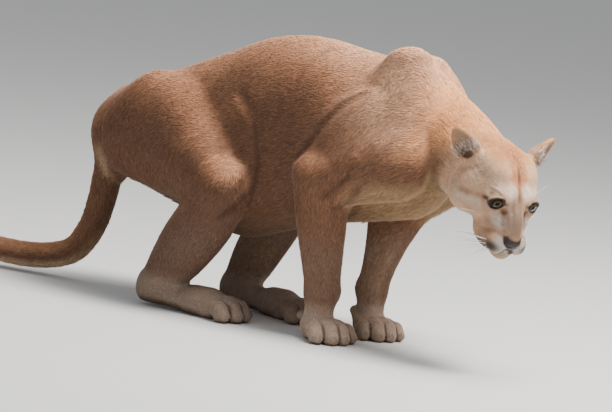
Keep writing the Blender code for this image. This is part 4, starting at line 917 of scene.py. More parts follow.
# ------------------------------------------------------------ lie of the coat
def streams():
    s_ = []

    def run(rows, weight=1.0, mirror=True, head=False):
        for s in ((1, -1) if mirror else (1,)):
            r = [hd(x, y * s, z) if head else vec(x, y * s, z) for x, y, z in rows]
            c = spline(r, 0.025)
            t = units(np.gradient(c, axis=0))
            s_.append(np.hstack([c, t, np.full((len(c), 1), weight)]))

    run([(0.400, -0.07, 0.44), (0.30, -0.03, 0.49), (0.20, 0, 0.545), (0.0, 0, 0.56), (-0.20, 0, 0.51), (-0.38, 0, 0.41),
         (-0.450, 0, 0.30), (-0.466, 0.008, 0.175), (-0.484, 0.008, 0.112), (-0.522, 0.004, 0.060), (-0.592, -0.006, 0.039),
         (-0.76, -0.026, 0.048), (-0.87, -0.030, 0.105)], 1.0, False)
    run([(0.24, 0.10, 0.46), (0.10, 0.13, 0.44), (-0.08, 0.13, 0.41), (-0.25, 0.12, 0.36)])
    run([(0.05, 0.12, 0.36), (-0.06, 0.12, 0.30), (-0.14, 0.11, 0.24)])
    run([(0.22, 0.10, 0.50), (0.185, 0.14, 0.42), (0.135, 0.15, 0.35), (0.105, 0.13, 0.28), (0.105, 0.12, 0.20),
         (0.112, 0.10, 0.12), (0.115, 0.10, 0.07), (0.130, 0.10, 0.045), (0.165, 0.09, 0.015)])
    run([(0.28, 0.08, 0.34), (0.24, 0.08, 0.28), (0.15, 0.075, 0.22), (0.12, 0.07, 0.14)])
    run([(-0.14, 0.16, 0.42), (-0.20, 0.17, 0.33), (-0.225, 0.15, 0.24), (-0.235, 0.12, 0.15), (-0.262, 0.09, 0.07),
         (-0.262, 0.09, 0.045), (-0.20, 0.09, 0.045), (-0.12, 0.09, 0.03), (-0.09, 0.09, 0.01)])
    run([(-0.07, 0.15, 0.32), (-0.10, 0.14, 0.24), (-0.17, 0.12, 0.16), (-0.22, 0.10, 0.09)])
    run([(-0.34, 0.10, 0.38), (-0.38, 0.10, 0.30), (-0.34, 0.10, 0.22)])
    run([(0.25, 0, 0.25), (0.10, 0, 0.21), (-0.10, 0, 0.155), (-0.30, 0, 0.20), (-0.42, 0, 0.26)], 1.0, False)
    run([(0.40, 0.04, 0.28), (0.33, 0.03, 0.29), (0.25, 0.02, 0.25)], 1.0)
    run([(0.38, 0.05, 0.40), (0.30, 0.09, 0.40), (0.24, 0.11, 0.36)], 1.0)
    h = dict(head=True)
    run([(112, 0, -14), (98, 0, 4), (80, 0, 30), (55, 0, 58), (20, 0, 74), (-40, 0, 80), (-90, 0, 76)], 1.0, False, **h)
    run([(106, 16, -30), (92, 34, -30), (70, 42, -28), (40, 60, -24), (-10, 80, -20), (-60, 80, -14)], 1.0, **h)
    run([(82, 12, 30), (66, 18, 50), (40, 34, 60), (0, 48, 66), (-40, 50, 72)], 1.0, **h)
    run([(92, 22, -2), (76, 36, -6), (56, 52, -2), (20, 70, 6), (-30, 80, 10), (-70, 78, 6)], 1.0, **h)
    run([(108, 4, -56), (88, 14, -72), (50, 20, -78), (0, 24, -78), (-50, 26, -74)], 1.0, **h)
    run([(60, 44, -46), (30, 52, -52), (-20, 60, -56), (-60, 60, -50)], 1.0, **h)
    run([(-36, 55, 40), (-46, 75, 58), (-54, 92, 74), (-61, 103, 84)], 3.0, **h)
    run([(-58, 62, 40), (-66, 82, 60), (-68, 100, 78)], 3.0, **h)
    return np.vstack(s_)


STREAMS = streams()


def lie(p, n):
    """Direction in which the hair lies, along the surface."""
    out = np.empty_like(p)
    c, t, w = STREAMS[:, :3], STREAMS[:, 3:6], STREAMS[:, 6]
    for a in range(0, len(p), 20000):
        q = p[a:a + 20000]
        d2 = ((q * q).sum(1)[:, None] + (c * c).sum(1)[None, :] - 2 * q @ c.T)
        k = w[None, :] / (np.maximum(d2, 0) + 0.012 ** 2) ** 2
        out[a:a + 20000] = k @ t
    out = units(out)
    out -= (out * n).sum(1)[:, None] * n
    return units(out)


# ------------------------------------------------------------ mesh helpers
def mesh_of(name, verts, faces, size):
    """A mesh from arrays; faces all have `size` corners."""
    me = bpy.data.meshes.new(name)
    me.vertices.add(len(verts))
    me.vertices.foreach_set("co", np.ascontiguousarray(verts, dtype=np.float32).ravel())
    me.loops.add(len(faces) * size)
    me.loops.foreach_set("vertex_index", np.ascontiguousarray(faces, dtype=np.int32).ravel())
    me.polygons.add(len(faces))
    me.polygons.foreach_set("loop_start", np.arange(0, len(faces) * size, size, dtype=np.int32))
    me.update(calc_edges=True)
    me.validate()
    return me


def put(name, me, material):
    ob = bpy.data.objects.new(name, me)
    bpy.context.scene.collection.objects.link(ob)
    me.materials.append(material)
    return ob


def paint(me, name, colours):
    at = me.attributes.new(name, "FLOAT_COLOR", "POINT")
    rgba = np.ones((len(me.vertices), 4), np.float32)
    rgba[:, :3] = colours
    at.data.foreach_set("color", rgba.ravel())


def weigh(me, name, values):
    at = me.attributes.new(name, "FLOAT", "POINT")
    at.data.foreach_set("value", np.asarray(values, np.float32))


def smooth(me, normals=None):
    me.polygons.foreach_set("use_smooth", np.ones(len(me.polygons), bool))
    if normals is not None:
        me.normals_split_custom_set_from_vertices([tuple(v) for v in np.asarray(normals, float)])


# ------------------------------------------------------------ materials
def nodes_of(name):
    mt = bpy.data.materials.new(name)
    mt.use_nodes = True
    nt = mt.node_tree
    return mt, nt, nt.nodes["Principled BSDF"]


def node(nt, kind, **sockets):
    n = nt.nodes.new(kind)
    for k, v in sockets.items():
        n.inputs[k.replace("_", " ")].default_value = v
    return n


def coat_material(name, rough, amount):
    """Hair: the painted coat, broken by fine streaks."""
    mt, nt, b = nodes_of(name)
    at = nt.nodes.new("ShaderNodeAttribute")
    at.attribute_name = "coat"
    tc = nt.nodes.new("ShaderNodeTexCoord")
    n1 = node(nt, "ShaderNodeTexNoise", Scale=420.0, Detail=3.0, Roughness=0.6)
    n2 = node(nt, "ShaderNodeTexNoise", Scale=46.0, Detail=3.0, Roughness=0.55)
    nt.links.new(tc.outputs["Object"], n1.inputs["Vector"])
    nt.links.new(tc.outputs["Object"], n2.inputs["Vector"])
    add = nt.nodes.new("ShaderNodeMath")
    add.operation = "ADD"
    nt.links.new(n1.outputs["Fac"], add.inputs[0])
    nt.links.new(n2.outputs["Fac"], add.inputs[1])
    rng_ = nt.nodes.new("ShaderNodeMapRange")
    rng_.inputs["From Min"].default_value = 0.6
    rng_.inputs["From Max"].default_value = 1.4
    rng_.inputs["To Min"].default_value = 1.0 - amount
    rng_.inputs["To Max"].default_value = 1.0 + amount
    nt.links.new(add.outputs[0], rng_.inputs["Value"])
    mul = nt.nodes.new("ShaderNodeVectorMath")
    mul.operation = "SCALE"
    nt.links.new(at.outputs["Color"], mul.inputs[0])
    nt.links.new(rng_.outputs["Result"], mul.inputs["Scale"])
    nt.links.new(mul.outputs["Vector"], b.inputs["Base Color"])
    b.inputs["Roughness"].default_value = rough
    b.inputs["Specular IOR Level"].default_value = 0.25
    b.inputs["Sheen Weight"].default_value = 0.12
    b.inputs["Sheen Roughness"].default_value = 0.4
    return mt


def skin_material():
    """Short flat hair as bump; bare, pebbled and moist on the nose."""
    mt, nt, b = nodes_of("skin")
    at = nt.nodes.new("ShaderNodeAttribute")
    at.attribute_name = "coat"
    wet = nt.nodes.new("ShaderNodeAttribute")
    wet.attribute_name = "bare"
    tc = nt.nodes.new("ShaderNodeTexCoord")
    hair = node(nt, "ShaderNodeTexNoise", Scale=700.0, Detail=4.0, Roughness=0.65)
    mp = nt.nodes.new("ShaderNodeMapping")
    mp.inputs["Scale"].default_value = (0.35, 1.0, 1.0)
    nt.links.new(tc.outputs["Object"], mp.inputs["Vector"])
    nt.links.new(mp.outputs["Vector"], hair.inputs["Vector"])
    pebble = node(nt, "ShaderNodeTexVoronoi", Scale=900.0)
    nt.links.new(tc.outputs["Object"], pebble.inputs["Vector"])
    mixh = nt.nodes.new("ShaderNodeMix")
    mixh.data_type = "FLOAT"
    nt.links.new(wet.outputs["Fac"], mixh.inputs["Factor"])
    nt.links.new(hair.outputs["Fac"], mixh.inputs["A"])
    nt.links.new(pebble.outputs["Distance"], mixh.inputs["B"])
    bump = node(nt, "ShaderNodeBump", Strength=0.55, Distance=0.0006)
    nt.links.new(mixh.outputs["Result"], bump.inputs["Height"])
    nt.links.new(bump.outputs["Normal"], b.inputs["Normal"])
    ro = nt.nodes.new("ShaderNodeMapRange")
    ro.inputs["To Min"].default_value = 0.75
    ro.inputs["To Max"].default_value = 0.34
    nt.links.new(wet.outputs["Fac"], ro.inputs["Value"])
    nt.links.new(ro.outputs["Result"], b.inputs["Roughness"])
    tone = nt.nodes.new("ShaderNodeMapRange")
    tone.inputs["To Min"].default_value = 0.72
    tone.inputs["To Max"].default_value = 1.1
    nt.links.new(hair.outputs["Fac"], tone.inputs["Value"])
    mul = nt.nodes.new("ShaderNodeVectorMath")
    mul.operation = "SCALE"
    nt.links.new(at.outputs["Color"], mul.inputs[0])
    nt.links.new(tone.outputs["Result"], mul.inputs["Scale"])
    nt.links.new(mul.outputs["Vector"], b.inputs["Base Color"])
    b.inputs["Specular IOR Level"].default_value = 0.35
    return mt


# ------------------------------------------------------------ skin
def open_end(ob, point, normal, reach):
    """Cut off what lies beyond a plane near a point, leaving the end open."""
    bm = bmesh.new()
    bm.from_mesh(ob)
    c = Vector(point)
    near = {v for v in bm.verts if (v.co - c).length < reach}
    geom = list(near) + [e for e in bm.edges if e.verts[0] in near and e.verts[1] in near] \
        + [q for q in bm.faces if all(v in near for v in q.verts)]
    bmesh.ops.bisect_plane(bm, geom=geom, dist=1e-5, plane_co=c, plane_no=Vector(normal), clear_outer=True)
    # the largest connected part is kept
    bm.verts.ensure_lookup_table()
    seen, best = set(), []
    for v in bm.verts:
        if v in seen:
            continue
        grp, stack = [], [v]
        seen.add(v)
        while stack:
            a = stack.pop()
            grp.append(a)
            for e in a.link_edges:
                o = e.other_vert(a)
                if o not in seen:
                    seen.add(o)
                    stack.append(o)
        if len(grp) > len(best):
            best = grp
    keep = set(best)
    bmesh.ops.delete(bm, geom=[v for v in bm.verts if v not in keep], context="VERTS")
    return bm


def make_skin():
    form = body_form()
    fine_relief(form)
    sk = Skin(form)
    cb, ch = ((0.0042, 0.0017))
    vb, qb = net(sk, (-0.93, -0.21, -0.03), (0.47, 0.21, 0.61), cb)
    vh, qh = net(sk, HEAD_AT - 0.152, HEAD_AT + 0.152, ch)
    x = HEAD_M[:, 0]
    cut = -0.080
    both = bmesh.new()
    for vs, qs, s, gap in ((vb, qb, 1.0, -0.0018), (vh, qh, -1.0, 0.0018)):
        bm = open_end(mesh_of("tmp", vs, qs, 4), HEAD_AT + x * (cut + gap), x * s, 0.30)
        tmp = bpy.data.meshes.new("tmp2")
        bm.to_mesh(tmp)
        bm.free()
        both.from_mesh(tmp)
    rim = [e for e in both.edges if len(e.link_faces) == 1]
    bmesh.ops.bridge_loops(both, edges=rim)
    left = sum(1 for e in both.edges if len(e.link_faces) == 1)
    bmesh.ops.triangulate(both, faces=[q for q in both.faces if len(q.verts) > 4])
    bmesh.ops.recalc_face_normals(both, faces=both.faces[:])
    me = bpy.data.meshes.new("skin")
    both.to_mesh(me)
    both.free()
    n = len(me.vertices)
    co = np.empty(n * 3, np.float32)
    me.vertices.foreach_get("co", co)
    p = co.reshape(-1, 3).astype(float)
    g = np.empty((n, 3))
    for a in range(0, n, 60000):
        g[a:a + 60000] = sk.slope(p[a:a + 60000], 0.0009)
    g = units(g)
    flat = p[:, 2] < FLOOR
    p[flat, 2] = FLOOR + 0.0001
    g[flat] = (0, 0, -1)
    me.vertices.foreach_set("co", (p + SHIFT).astype(np.float32).ravel())
    me.update()
    print("skin", len(me.vertices), len(me.polygons), "rim edges left", left)
    smooth(me, g)
    r = regions(p)
    paint(me, "coat", coat_colour_and_painted_light(p, g) * 0.82)
    weigh(me, "bare", np.maximum(r["nose"], 1 - ramp(1.0, 1.15, eye_frame(r["q"]))))
    return me, p, g


skin_me, skin_p, skin_n = make_skin()
skin_mt = skin_material()
skin = put("skin", skin_me, skin_mt)
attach(skin, "root")
flesh = [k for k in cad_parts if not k.startswith("eye_")]
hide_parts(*flesh)


# ------------------------------------------------------------ the coat
def roots(count):
    """Where tufts stand: spread over the skin, closer on finer parts."""
    n = len(skin_me.loop_triangles) if skin_me.loop_triangles else 0
    skin_me.calc_loop_triangles()
    n = len(skin_me.loop_triangles)
    tri = np.empty(n * 3, np.int32)
    skin_me.loop_triangles.foreach_get("vertices", tri)
    tri = tri.reshape(-1, 3)
    a, b, c = skin_p[tri[:, 0]], skin_p[tri[:, 1]], skin_p[tri[:, 2]]
    area = np.linalg.norm(np.cross(b - a, c - a), axis=1) / 2
    m = (a + b + c) / 3
    g = regions(m)
    dens = 1.0 + 0.5 * g["leg"] + 1.4 * g["foot"] + 0.2 * g["tail"] + 2.2 * g["head"] + 3.2 * g["face"]
    dens *= (1 - 0.97 * g["nose"]) * ramp(1.02, 1.25, eye_frame(g["q"]))
    dens[(m[:, 2] < FLOOR + 0.0015)] = 0
    w = area * dens
    cum = np.cumsum(w)
    u = (np.arange(count) + rng.random(count)) / count * cum[-1]
    i = np.minimum(np.searchsorted(cum, u), n - 1)
    r1, r2 = np.sqrt(rng.random(count)), rng.random(count)
    k0, k1, k2 = (1 - r1)[:, None], (r1 * (1 - r2))[:, None], (r1 * r2)[:, None]
    t = tri[i]
    p = skin_p[t[:, 0]] * k0 + skin_p[t[:, 1]] * k1 + skin_p[t[:, 2]] * k2
    nn = units(skin_n[t[:, 0]] * k0 + skin_n[t[:, 1]] * k1 + skin_n[t[:, 2]] * k2)
    return p, nn


def build_tufts(p, n):
    """Length, width, lift, direction and colour of each tuft."""
    g = regions(p)
    q = g["q"]
    m = len(p)
    one = rng.random(m)
    length = np.full(m, 11.5)
    width = np.full(m, 1.45)
    lift = np.full(m, 0.13)

    def blend(v, to, w):
        v += (to - v) * w

    for k, l, w, a in (("leg", 9.0, 1.15, 0.12), ("foot", 5.0, 0.80, 0.10), ("tail", 12.0, 1.4, 0.20),
                       ("head", 8.0, 0.95, 0.16), ("face", 4.4, 0.60, 0.11)):
        blend(length, l, g[k])
        blend(width, w, g[k])
        blend(lift, a, g[k])
    muzzle = g["head"] * ramp(70, 90, q[:, 0])
    blend(length, 3.4, muzzle)
    blend(width, 0.5, muzzle)
    near_eye = 1 - ramp(16, 30, g["eye_r"])
    blend(length, 2.4, near_eye)
    blend(width, 0.42, near_eye)
    blend(lift, 0.08, near_eye)
    under = ramp(-0.35, -0.8, n[:, 2]) * (1 - g["leg"]) * (1 - g["head"]) * (1 - g["tail"])
    blend(length, 21.0, under * (0.3 + 0.7 * one))
    blend(lift, 0.36, under * one)
    throat = ramp(0.2, 0.28, p[:, 0]) * ramp(0.1, -0.5, n[:, 2]) * (1 - g["face"])
    blend(length, 15.0, throat * 0.7)
    ys = np.where(q[:, 1] > 0, 1.0, -1.0)[:, None]
    front = units(HEAD_M[:, 0] * 1.0 + ys * HEAD_M[:, 1] * 1.15 + HEAD_M[:, 2] * 0.25)
    into = g["ear"] * ramp(0.0, 0.4, (n * front).sum(1))
    blend(length, 4.2, g["ear"])
    blend(width, 0.5, g["ear"])
    blend(lift, 0.10, g["ear"])
    deep = into * ramp(0.75, 0.25, g["ear_t"])
    blend(length, 13.0, deep * (one > 0.35))
    blend(lift, 0.5, deep)
    length *= rng.uniform(0.75, 1.2, m)
    width *= rng.uniform(0.75, 1.3, m)
    lift *= rng.uniform(0.5, 1.5, m)
    # the lie, with clumps that part a little from one another
    d = lie(p, n)
    b = np.cross(n, d)
    ang = 0.16 * wave(p, 0.022, 41) + 0.10 * wave(p, 0.009, 42) + rng.normal(0, 0.10, m)
    ang *= 1 - 0.5 * g["face"]
    d = d * np.cos(ang)[:, None] + b * np.sin(ang)[:, None]
    b = np.cross(n, d)
    lift += 0.05 * wave(p, 0.016, 43) * (1 - g["head"])
    lift = np.clip(lift, 0.03, 1.0)
    # colour: the coat at the root, each tuft a shade of its own
    c = coat_colour_and_painted_light(p, n)
    tone = 1.0 + 0.06 * wave(p, 0.012, 44) + rng.normal(0, 0.07, m)
    dark = (rng.random(m) < 0.05 + 0.09 * ramp(0.6, 0.1, n[:, 2])) * (1 - g["face"]) * (1 - under)
    tone *= 1 - 0.38 * dark
    pale = (rng.random(m) < 0.08) * (1 - g["face"])
    tone *= 1 + 0.30 * pale
    white = deep * (rng.random(m) < 0.55)
    c += (rgb(232, 224, 216) - c) * (white * 0.9)[:, None]
    c = np.clip(c * np.clip(tone, 0.45, 1.5)[:, None], 0, 0.92)
    return length / 1000, width / 1000, lift, d, b, c, g


def atlas(kind, p):
    """Place of each root on an unwrap of its own part of the skin, 0..1 both ways."""
    if kind == "around_x":                      # round the trunk or the tail
        mid = np.interp(p[:, 0], [-0.9, -0.6, -0.47, -0.43, -0.3, 0.0, 0.25, 0.45], [0.10, 0.04, 0.16, 0.30, 0.33, 0.36, 0.39, 0.34])
        a = np.arctan2(p[:, 1], p[:, 2] - mid)
        u, v = p[:, 0] - 0.35 * p[:, 2] * (p[:, 0] < -0.43), a
    elif kind == "side":                        # a flank, laid out flat
        u, v = p[:, 0], p[:, 2] - 0.4 * np.abs(p[:, 1])
    elif kind == "legs":                        # two legs side by side, each round its own line
        hind = p[:, 0] < 0.02
        z = p[:, 2]
        cy = np.where(hind, 0.10, 0.085) * np.sign(np.median(p[:, 1]))
        cx = np.where(hind, np.interp(z, [0.03, 0.2], [-0.24, -0.14]), 0.115)
        a = np.arctan2(p[:, 1] - cy, p[:, 0] - cx) / (2 * math.pi) + 0.5
        u, v = np.where(hind, 0.0, 0.52) + a * 0.46, z
    elif kind == "feet":                        # four feet, each seen as a globe
        hind = p[:, 0] < 0.02
        left = p[:, 1] > -0.01
        cx = np.where(hind, np.where(left, -0.05, -0.16), np.where(left, 0.15, 0.12))
        cy = np.where(hind, np.where(left, 0.075, -0.09), np.where(left, 0.045, -0.095))
        a = np.arctan2(p[:, 1] - cy, p[:, 0] - cx) / (2 * math.pi) + 0.5
        e = np.arctan2(p[:, 2] - 0.02, np.hypot(p[:, 0] - cx, p[:, 1] - cy)) / math.pi + 0.5
        u, v = hind * 0.52 + a * 0.46, left * 0.52 + e * 0.46
    elif kind == "ears":
        q = head_mm(p)
        left = q[:, 1] > 0
        s = np.where(left, 1.0, -1.0)
        base, tip = vec(-40, 63, 47), vec(-61, 103, 84)
        ax = unit(tip - base)
        a_ = np.stack([q[:, 0], q[:, 1] * s, q[:, 2]], 1) - base
        f = unit(np.cross(ax, vec(0, 0, 1)))
        h = np.cross(ax, f)
        u = left * 0.52 + (np.arctan2(a_ @ f, a_ @ h) / (2 * math.pi) + 0.5) * 0.46
        v = a_ @ ax
    else:                                       # the head as a globe
        q = head_mm(p) - (10, 0, -5)
        u = np.arctan2(q[:, 1], q[:, 0] * 0.9)
        v = np.arctan2(q[:, 2], np.hypot(q[:, 0], q[:, 1]))
    u = (u - u.min()) / max(float(np.ptp(u)), 1e-9)
    v = (v - v.min()) / max(float(np.ptp(v)), 1e-9)
    return 0.006 + u * 0.988, 0.006 + v * 0.988


def tuft_mesh(name, kind, p, n, length, width, lift, d, b, c, material):
    m = len(p)
    L = length[:, None]
    s, co = np.sin(lift)[:, None], np.cos(lift)[:, None]
    s2 = np.sin(lift * 0.62)[:, None]
    root = p - n * 0.0004
    mid = p + d * L * 0.42 * co + n * (L * 0.42 * s + 0.0002)
    tip = p + d * L * co + n * (L * s2)
    w, th = (width / 2)[:, None], (width * 0.28)[:, None]
    v = np.empty((m, 5, 3))
    v[:, 0] = root
    v[:, 1] = mid + b * w - n * th * 0.4
    v[:, 2] = mid - b * w - n * th * 0.4
    v[:, 3] = mid + n * th
    v[:, 4] = tip
    v[:, :, 2] = np.maximum(v[:, :, 2], FLOOR + 0.0001)
    f = np.array([(0, 3, 1), (0, 2, 3), (0, 1, 2), (4, 1, 3), (4, 3, 2), (4, 2, 1)])
    faces = (f[None] + (np.arange(m) * 5)[:, None, None]).reshape(-1, 3)
    verts = v.reshape(-1, 3) + SHIFT
    me = mesh_of(name, verts, faces, 3)
    nn = np.empty((m, 5, 3))
    nn[:, 0] = n
    nn[:, 1] = n * 0.75 + b * 0.65
    nn[:, 2] = n * 0.75 - b * 0.65
    nn[:, 3] = n
    nn[:, 4] = n * 0.9 + d * 0.35
    smooth(me, units(nn.reshape(-1, 3)))
    # painted shade: each tuft darker at the root, where the hairs shade one another, and lighter toward the tip
    col = np.empty((m, 5, 3))
    for k, t in ((0, 0.62), (1, 0.98), (2, 0.98), (3, 1.05), (4, 1.22)):
        col[:, k] = np.clip(c * t, 0, 0.95)
    paint(me, "coat", col.reshape(-1, 3))
    u0, v0 = atlas(kind, p)
    h = 0.0015
    off = np.array([(-h, 0), (0, 0.8 * h), (0, -0.8 * h), (0.4 * h, 0), (h, 0)])
    uv = np.stack([u0, v0], 1)[:, None, :] + off[None]
    uv = np.clip(uv.reshape(-1, 2), 0.0001, 0.9999)
    layer = me.uv_layers.new(name="OFBake")
    idx = np.empty(len(me.loops), np.int32)
    me.loops.foreach_get("vertex_index", idx)
    layer.data.foreach_set("uv", uv[idx].astype(np.float32).ravel())
    ob = put(name, me, material)
    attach(ob, "root")
    return ob


COUNT = 238000
tp, tn = roots(COUNT)
tl, tw, ta, td, tb, tcol, tg = build_tufts(tp, tn)
fur_mt = coat_material("coat_hair", 0.72, 0.16)
ax_, ay_, az_ = tp.T
label = np.where(ax_ > 0.11, 0, 1)
label[(np.abs(ay_) > 0.082) & (az_ > 0.20)] = 2
label[(ay_ > 0.082) & (az_ > 0.20)] = 3
label[(az_ <= 0.20) & (ay_ < 0)] = 4
label[(az_ <= 0.20) & (ay_ >= 0)] = 5
label[az_ < 0.056] = 6
label[ax_ < -0.435] = 7
label[(tg["q"][:, 0] > -80) & (np.linalg.norm(tg["q"] - (20, 0, 0), axis=1) < 150) & (az_ > 0.18)] = 8
label[(tg["ear"] > 0.3) & (label == 8)] = 9
PARTS = (("fur_fore_trunk", "around_x", "coat_back"), ("fur_rear_trunk", "around_x", "coat_back"),
         ("fur_side_R", "side", "coat_flank"), ("fur_side_L", "side", "coat_flank"),
         ("fur_legs_R", "legs", "coat_flank"), ("fur_legs_L", "legs", "coat_flank"),
         ("fur_feet", "feet", "coat_foot"), ("fur_tail", "around_x", "coat_tail"),
         ("fur_head", "head", "coat_head"), ("fur_ears", "ears", "coat_ear"))
for k, (name, kind, slot_name) in enumerate(PARTS):
    i = np.nonzero(label == k)[0]
    if len(i) == 0:
        continue
    cuts = max(1, math.ceil(len(i) / 32500))
    for j in range(cuts):
        ids = i[j::cuts]
        ob = tuft_mesh(name if cuts == 1 else "%s_%d" % (name, j + 1), kind, tp[ids], tn[ids], tl[ids], tw[ids],
                       ta[ids], td[ids], tb[ids], tcol[ids], fur_mt)
    print(name, len(i), cuts)


# ------------------------------------------------------------ eyes
def ring_mesh(name, profile, seg, axes, centre):
    """A surface turned about an axis: profile of (along, out); closed at both ends."""
    prof = np.array(profile, float)
    a = np.arange(seg) * 2 * math.pi / seg
    x, y, z = axes[:, 0], axes[:, 1], axes[:, 2]
    verts = [centre + x * prof[0, 0] / 1000]
    for al, out in prof[1:-1]:
        for t in a:
            verts.append(centre + (x * al + (y * math.cos(t) + z * math.sin(t)) * out) / 1000)
    verts.append(centre + x * prof[-1, 0] / 1000)
    faces = []
    k = len(prof) - 2
    for j in range(seg):
        faces.append((0, 1 + (j + 1) % seg, 1 + j))
        for r in range(k - 1):
            b0, b1 = 1 + r * seg, 1 + (r + 1) * seg
            faces.append((b0 + j, b0 + (j + 1) % seg, b1 + (j + 1) % seg))
            faces.append((b0 + j, b1 + (j + 1) % seg, b1 + j))
        b0 = 1 + (k - 1) * seg
        faces.append((b0 + j, b0 + (j + 1) % seg, len(verts) - 1))
    return np.array(verts), np.array(faces)


def eye_material():
    mt, nt, b = nodes_of("eye_iris")
    at = nt.nodes.new("ShaderNodeAttribute")
    at.attribute_name = "coat"
    tc = nt.nodes.new("ShaderNodeTexCoord")
    n1 = node(nt, "ShaderNodeTexNoise", Scale=1500.0, Detail=3.0)
    nt.links.new(tc.outputs["Object"], n1.inputs["Vector"])
    mr = nt.nodes.new("ShaderNodeMapRange")
    mr.inputs["To Min"].default_value = 0.75
    mr.inputs["To Max"].default_value = 1.25
    nt.links.new(n1.outputs["Fac"], mr.inputs["Value"])
    mul = nt.nodes.new("ShaderNodeVectorMath")
    mul.operation = "SCALE"
    nt.links.new(at.outputs["Color"], mul.inputs[0])
    nt.links.new(mr.outputs["Result"], mul.inputs["Scale"])
    nt.links.new(mul.outputs["Vector"], b.inputs["Base Color"])
    b.inputs["Roughness"].default_value = 0.6
    b.inputs["Specular IOR Level"].default_value = 0.1
    return mt


def cornea_material():
    mt, nt, b = nodes_of("eye_cornea")
    out = nt.nodes["Material Output"]
    tr = nt.nodes.new("ShaderNodeBsdfTransparent")
    gl = nt.nodes.new("ShaderNodeBsdfGlossy")
    gl.inputs["Roughness"].default_value = 0.04
    fr = nt.nodes.new("ShaderNodeFresnel")
    fr.inputs["IOR"].default_value = 1.38
    mx = nt.nodes.new("ShaderNodeMixShader")
    less = nt.nodes.new("ShaderNodeMath")
    less.operation = "MULTIPLY"
    less.inputs[1].default_value = 0.16
    nt.links.new(fr.outputs["Fac"], less.inputs[0])
    nt.links.new(less.outputs[0], mx.inputs["Fac"])
    nt.links.new(tr.outputs["BSDF"], mx.inputs[1])
    nt.links.new(gl.outputs["BSDF"], mx.inputs[2])
    nt.links.new(mx.outputs["Shader"], out.inputs["Surface"])
    nt.nodes.remove(b)
    return mt


iris_mt, cornea_mt = eye_material(), cornea_material()
for s, tag in ((1, "L"), (-1, "R")):
    at = hd(EYE[0] * 1000, EYE[1] * 1000 * s, EYE[2] * 1000) + SHIFT
    gaze = HEAD_M @ unit(vec(1.0, 0.20 * s + 0.06, 0.06))
    yy = unit(np.cross(vec(0, 0, 1), gaze))
    axes = np.stack([gaze, yy, np.cross(gaze, yy)], 1)
    R = 13.5
    prof = [(9.2, 0.0), (9.2, 1.9), (9.25, 3.9), (9.7, 4.2)]
    prof += [(9.7 + 0.35 * t, 4.2 + 4.4 * t) for t in (0.12, 0.28, 0.46, 0.64, 0.82, 1.0)]
    prof += [(R * math.cos(t), R * math.sin(t)) for t in np.radians(np.linspace(41, 172, 14))]
    prof += [(-R, 0.0)]
    v, f = ring_mesh("eye", prof, 72, axes, at)
    me = mesh_of("eyeball_" + tag, v, f, 3)
    rel = (v - at) * 1000
    al = rel @ gaze
    out = np.linalg.norm(rel - al[:, None] * gaze, axis=1)
    ang = np.arctan2(rel @ axes[:, 2], rel @ axes[:, 1])
    streak = sum(np.sin(k * ang + ph) for k, ph in ((7, .3), (11, 1.2), (17, 2.2), (23, 0.4), (31, 3.0))) / 5
    col = np.tile(rgb(52, 46, 26), (len(v), 1))
    over(col, rgb(74, 66, 40), ramp(0.0, 0.8, streak) * 0.7)
    over(col, rgb(92, 82, 48), ramp(6.4, 5.0, out) * 0.7)
    over(col, rgb(18, 14, 10), ramp(7.4, 8.8, out))
    over(col, rgb(6, 5, 5), ramp(4.35, 4.0, out))
    white = (al < 10.15) & (out > 8.7) | (al < 8)
    over(col, rgb(44, 32, 26), white.astype(float))
    paint(me, "coat", col)
    smooth(me)
    ob = put("eyeball_" + tag, me, iris_mt)
    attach(ob, "root")
    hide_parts("eye_" + tag)
    Rc = 12.2
    c0 = 14.0 - Rc
    top = math.degrees(math.asin(9.0 / Rc))
    prof = [(14.0, 0.0)] + [(c0 + Rc * math.cos(t), Rc * math.sin(t)) for t in np.radians(np.linspace(5, top, 10))]
    prof += [(c0 + Rc * math.cos(math.radians(top)) - 0.5, 8.6), (c0 + Rc * math.cos(math.radians(top)) - 0.5, 0.0)]
    v, f = ring_mesh("cornea", prof[:-1] + [prof[-1]], 48, axes, at)
    # only the dome is kept: the flat back would darken the iris
    keep = np.array([all(i < 1 + 10 * 48 for i in q) for q in f])
    me = mesh_of("cornea_" + tag, v, f[keep], 3)
    bm = bmesh.new()
    bm.from_mesh(me)
    bmesh.ops.delete(bm, geom=[w for w in bm.verts if not w.link_faces], context="VERTS")
    bm.to_mesh(me)
    bm.free()
    smooth(me)
    ob = put("cornea_" + tag, me, cornea_mt)
    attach(ob, "root")


# ------------------------------------------------------------ whiskers and claws
def hair_tubes(name, strands, material, sides=5):
    """Thin tapering tubes: each strand is (points, root radius)."""
    V, F, base = [], [], 0
    for pts, r in strands:
        c = spline(pts, 0.004)
        k = len(c)
        t = units(np.gradient(c, axis=0))
        u = units(np.cross(t, np.tile(vec(0.3, 0.2, 1.0), (k, 1))))
        w = np.cross(t, u)
        rad = r * (1 - np.linspace(0, 1, k) ** 1.5 * 0.93)
        for j in range(sides):
            a = 2 * math.pi * j / sides
            V.append(c + (u * math.cos(a) + w * math.sin(a)) * rad[:, None])
        idx = base + np.arange(sides)[:, None] * k + np.arange(k)[None, :]
        for j in range(sides):
            a, b = idx[j], idx[(j + 1) % sides]
            F.append(np.stack([a[:-1], b[:-1], b[1:]], 1))
            F.append(np.stack([a[:-1], b[1:], a[1:]], 1))
        ends = []
        for e in (0, k - 1):
            r0 = idx[:, e]
            for j in range(1, sides - 1):
                ends.append((r0[0], r0[j + 1], r0[j]) if e == 0 else (r0[0], r0[j], r0[j + 1]))
        F.append(np.array(ends))
        base += sides * k
    me = mesh_of(name, np.vstack(V) + SHIFT, np.vstack(F), 3)
    smooth(me)
    ob = put(name, me, material)
    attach(ob, "root")
    return ob


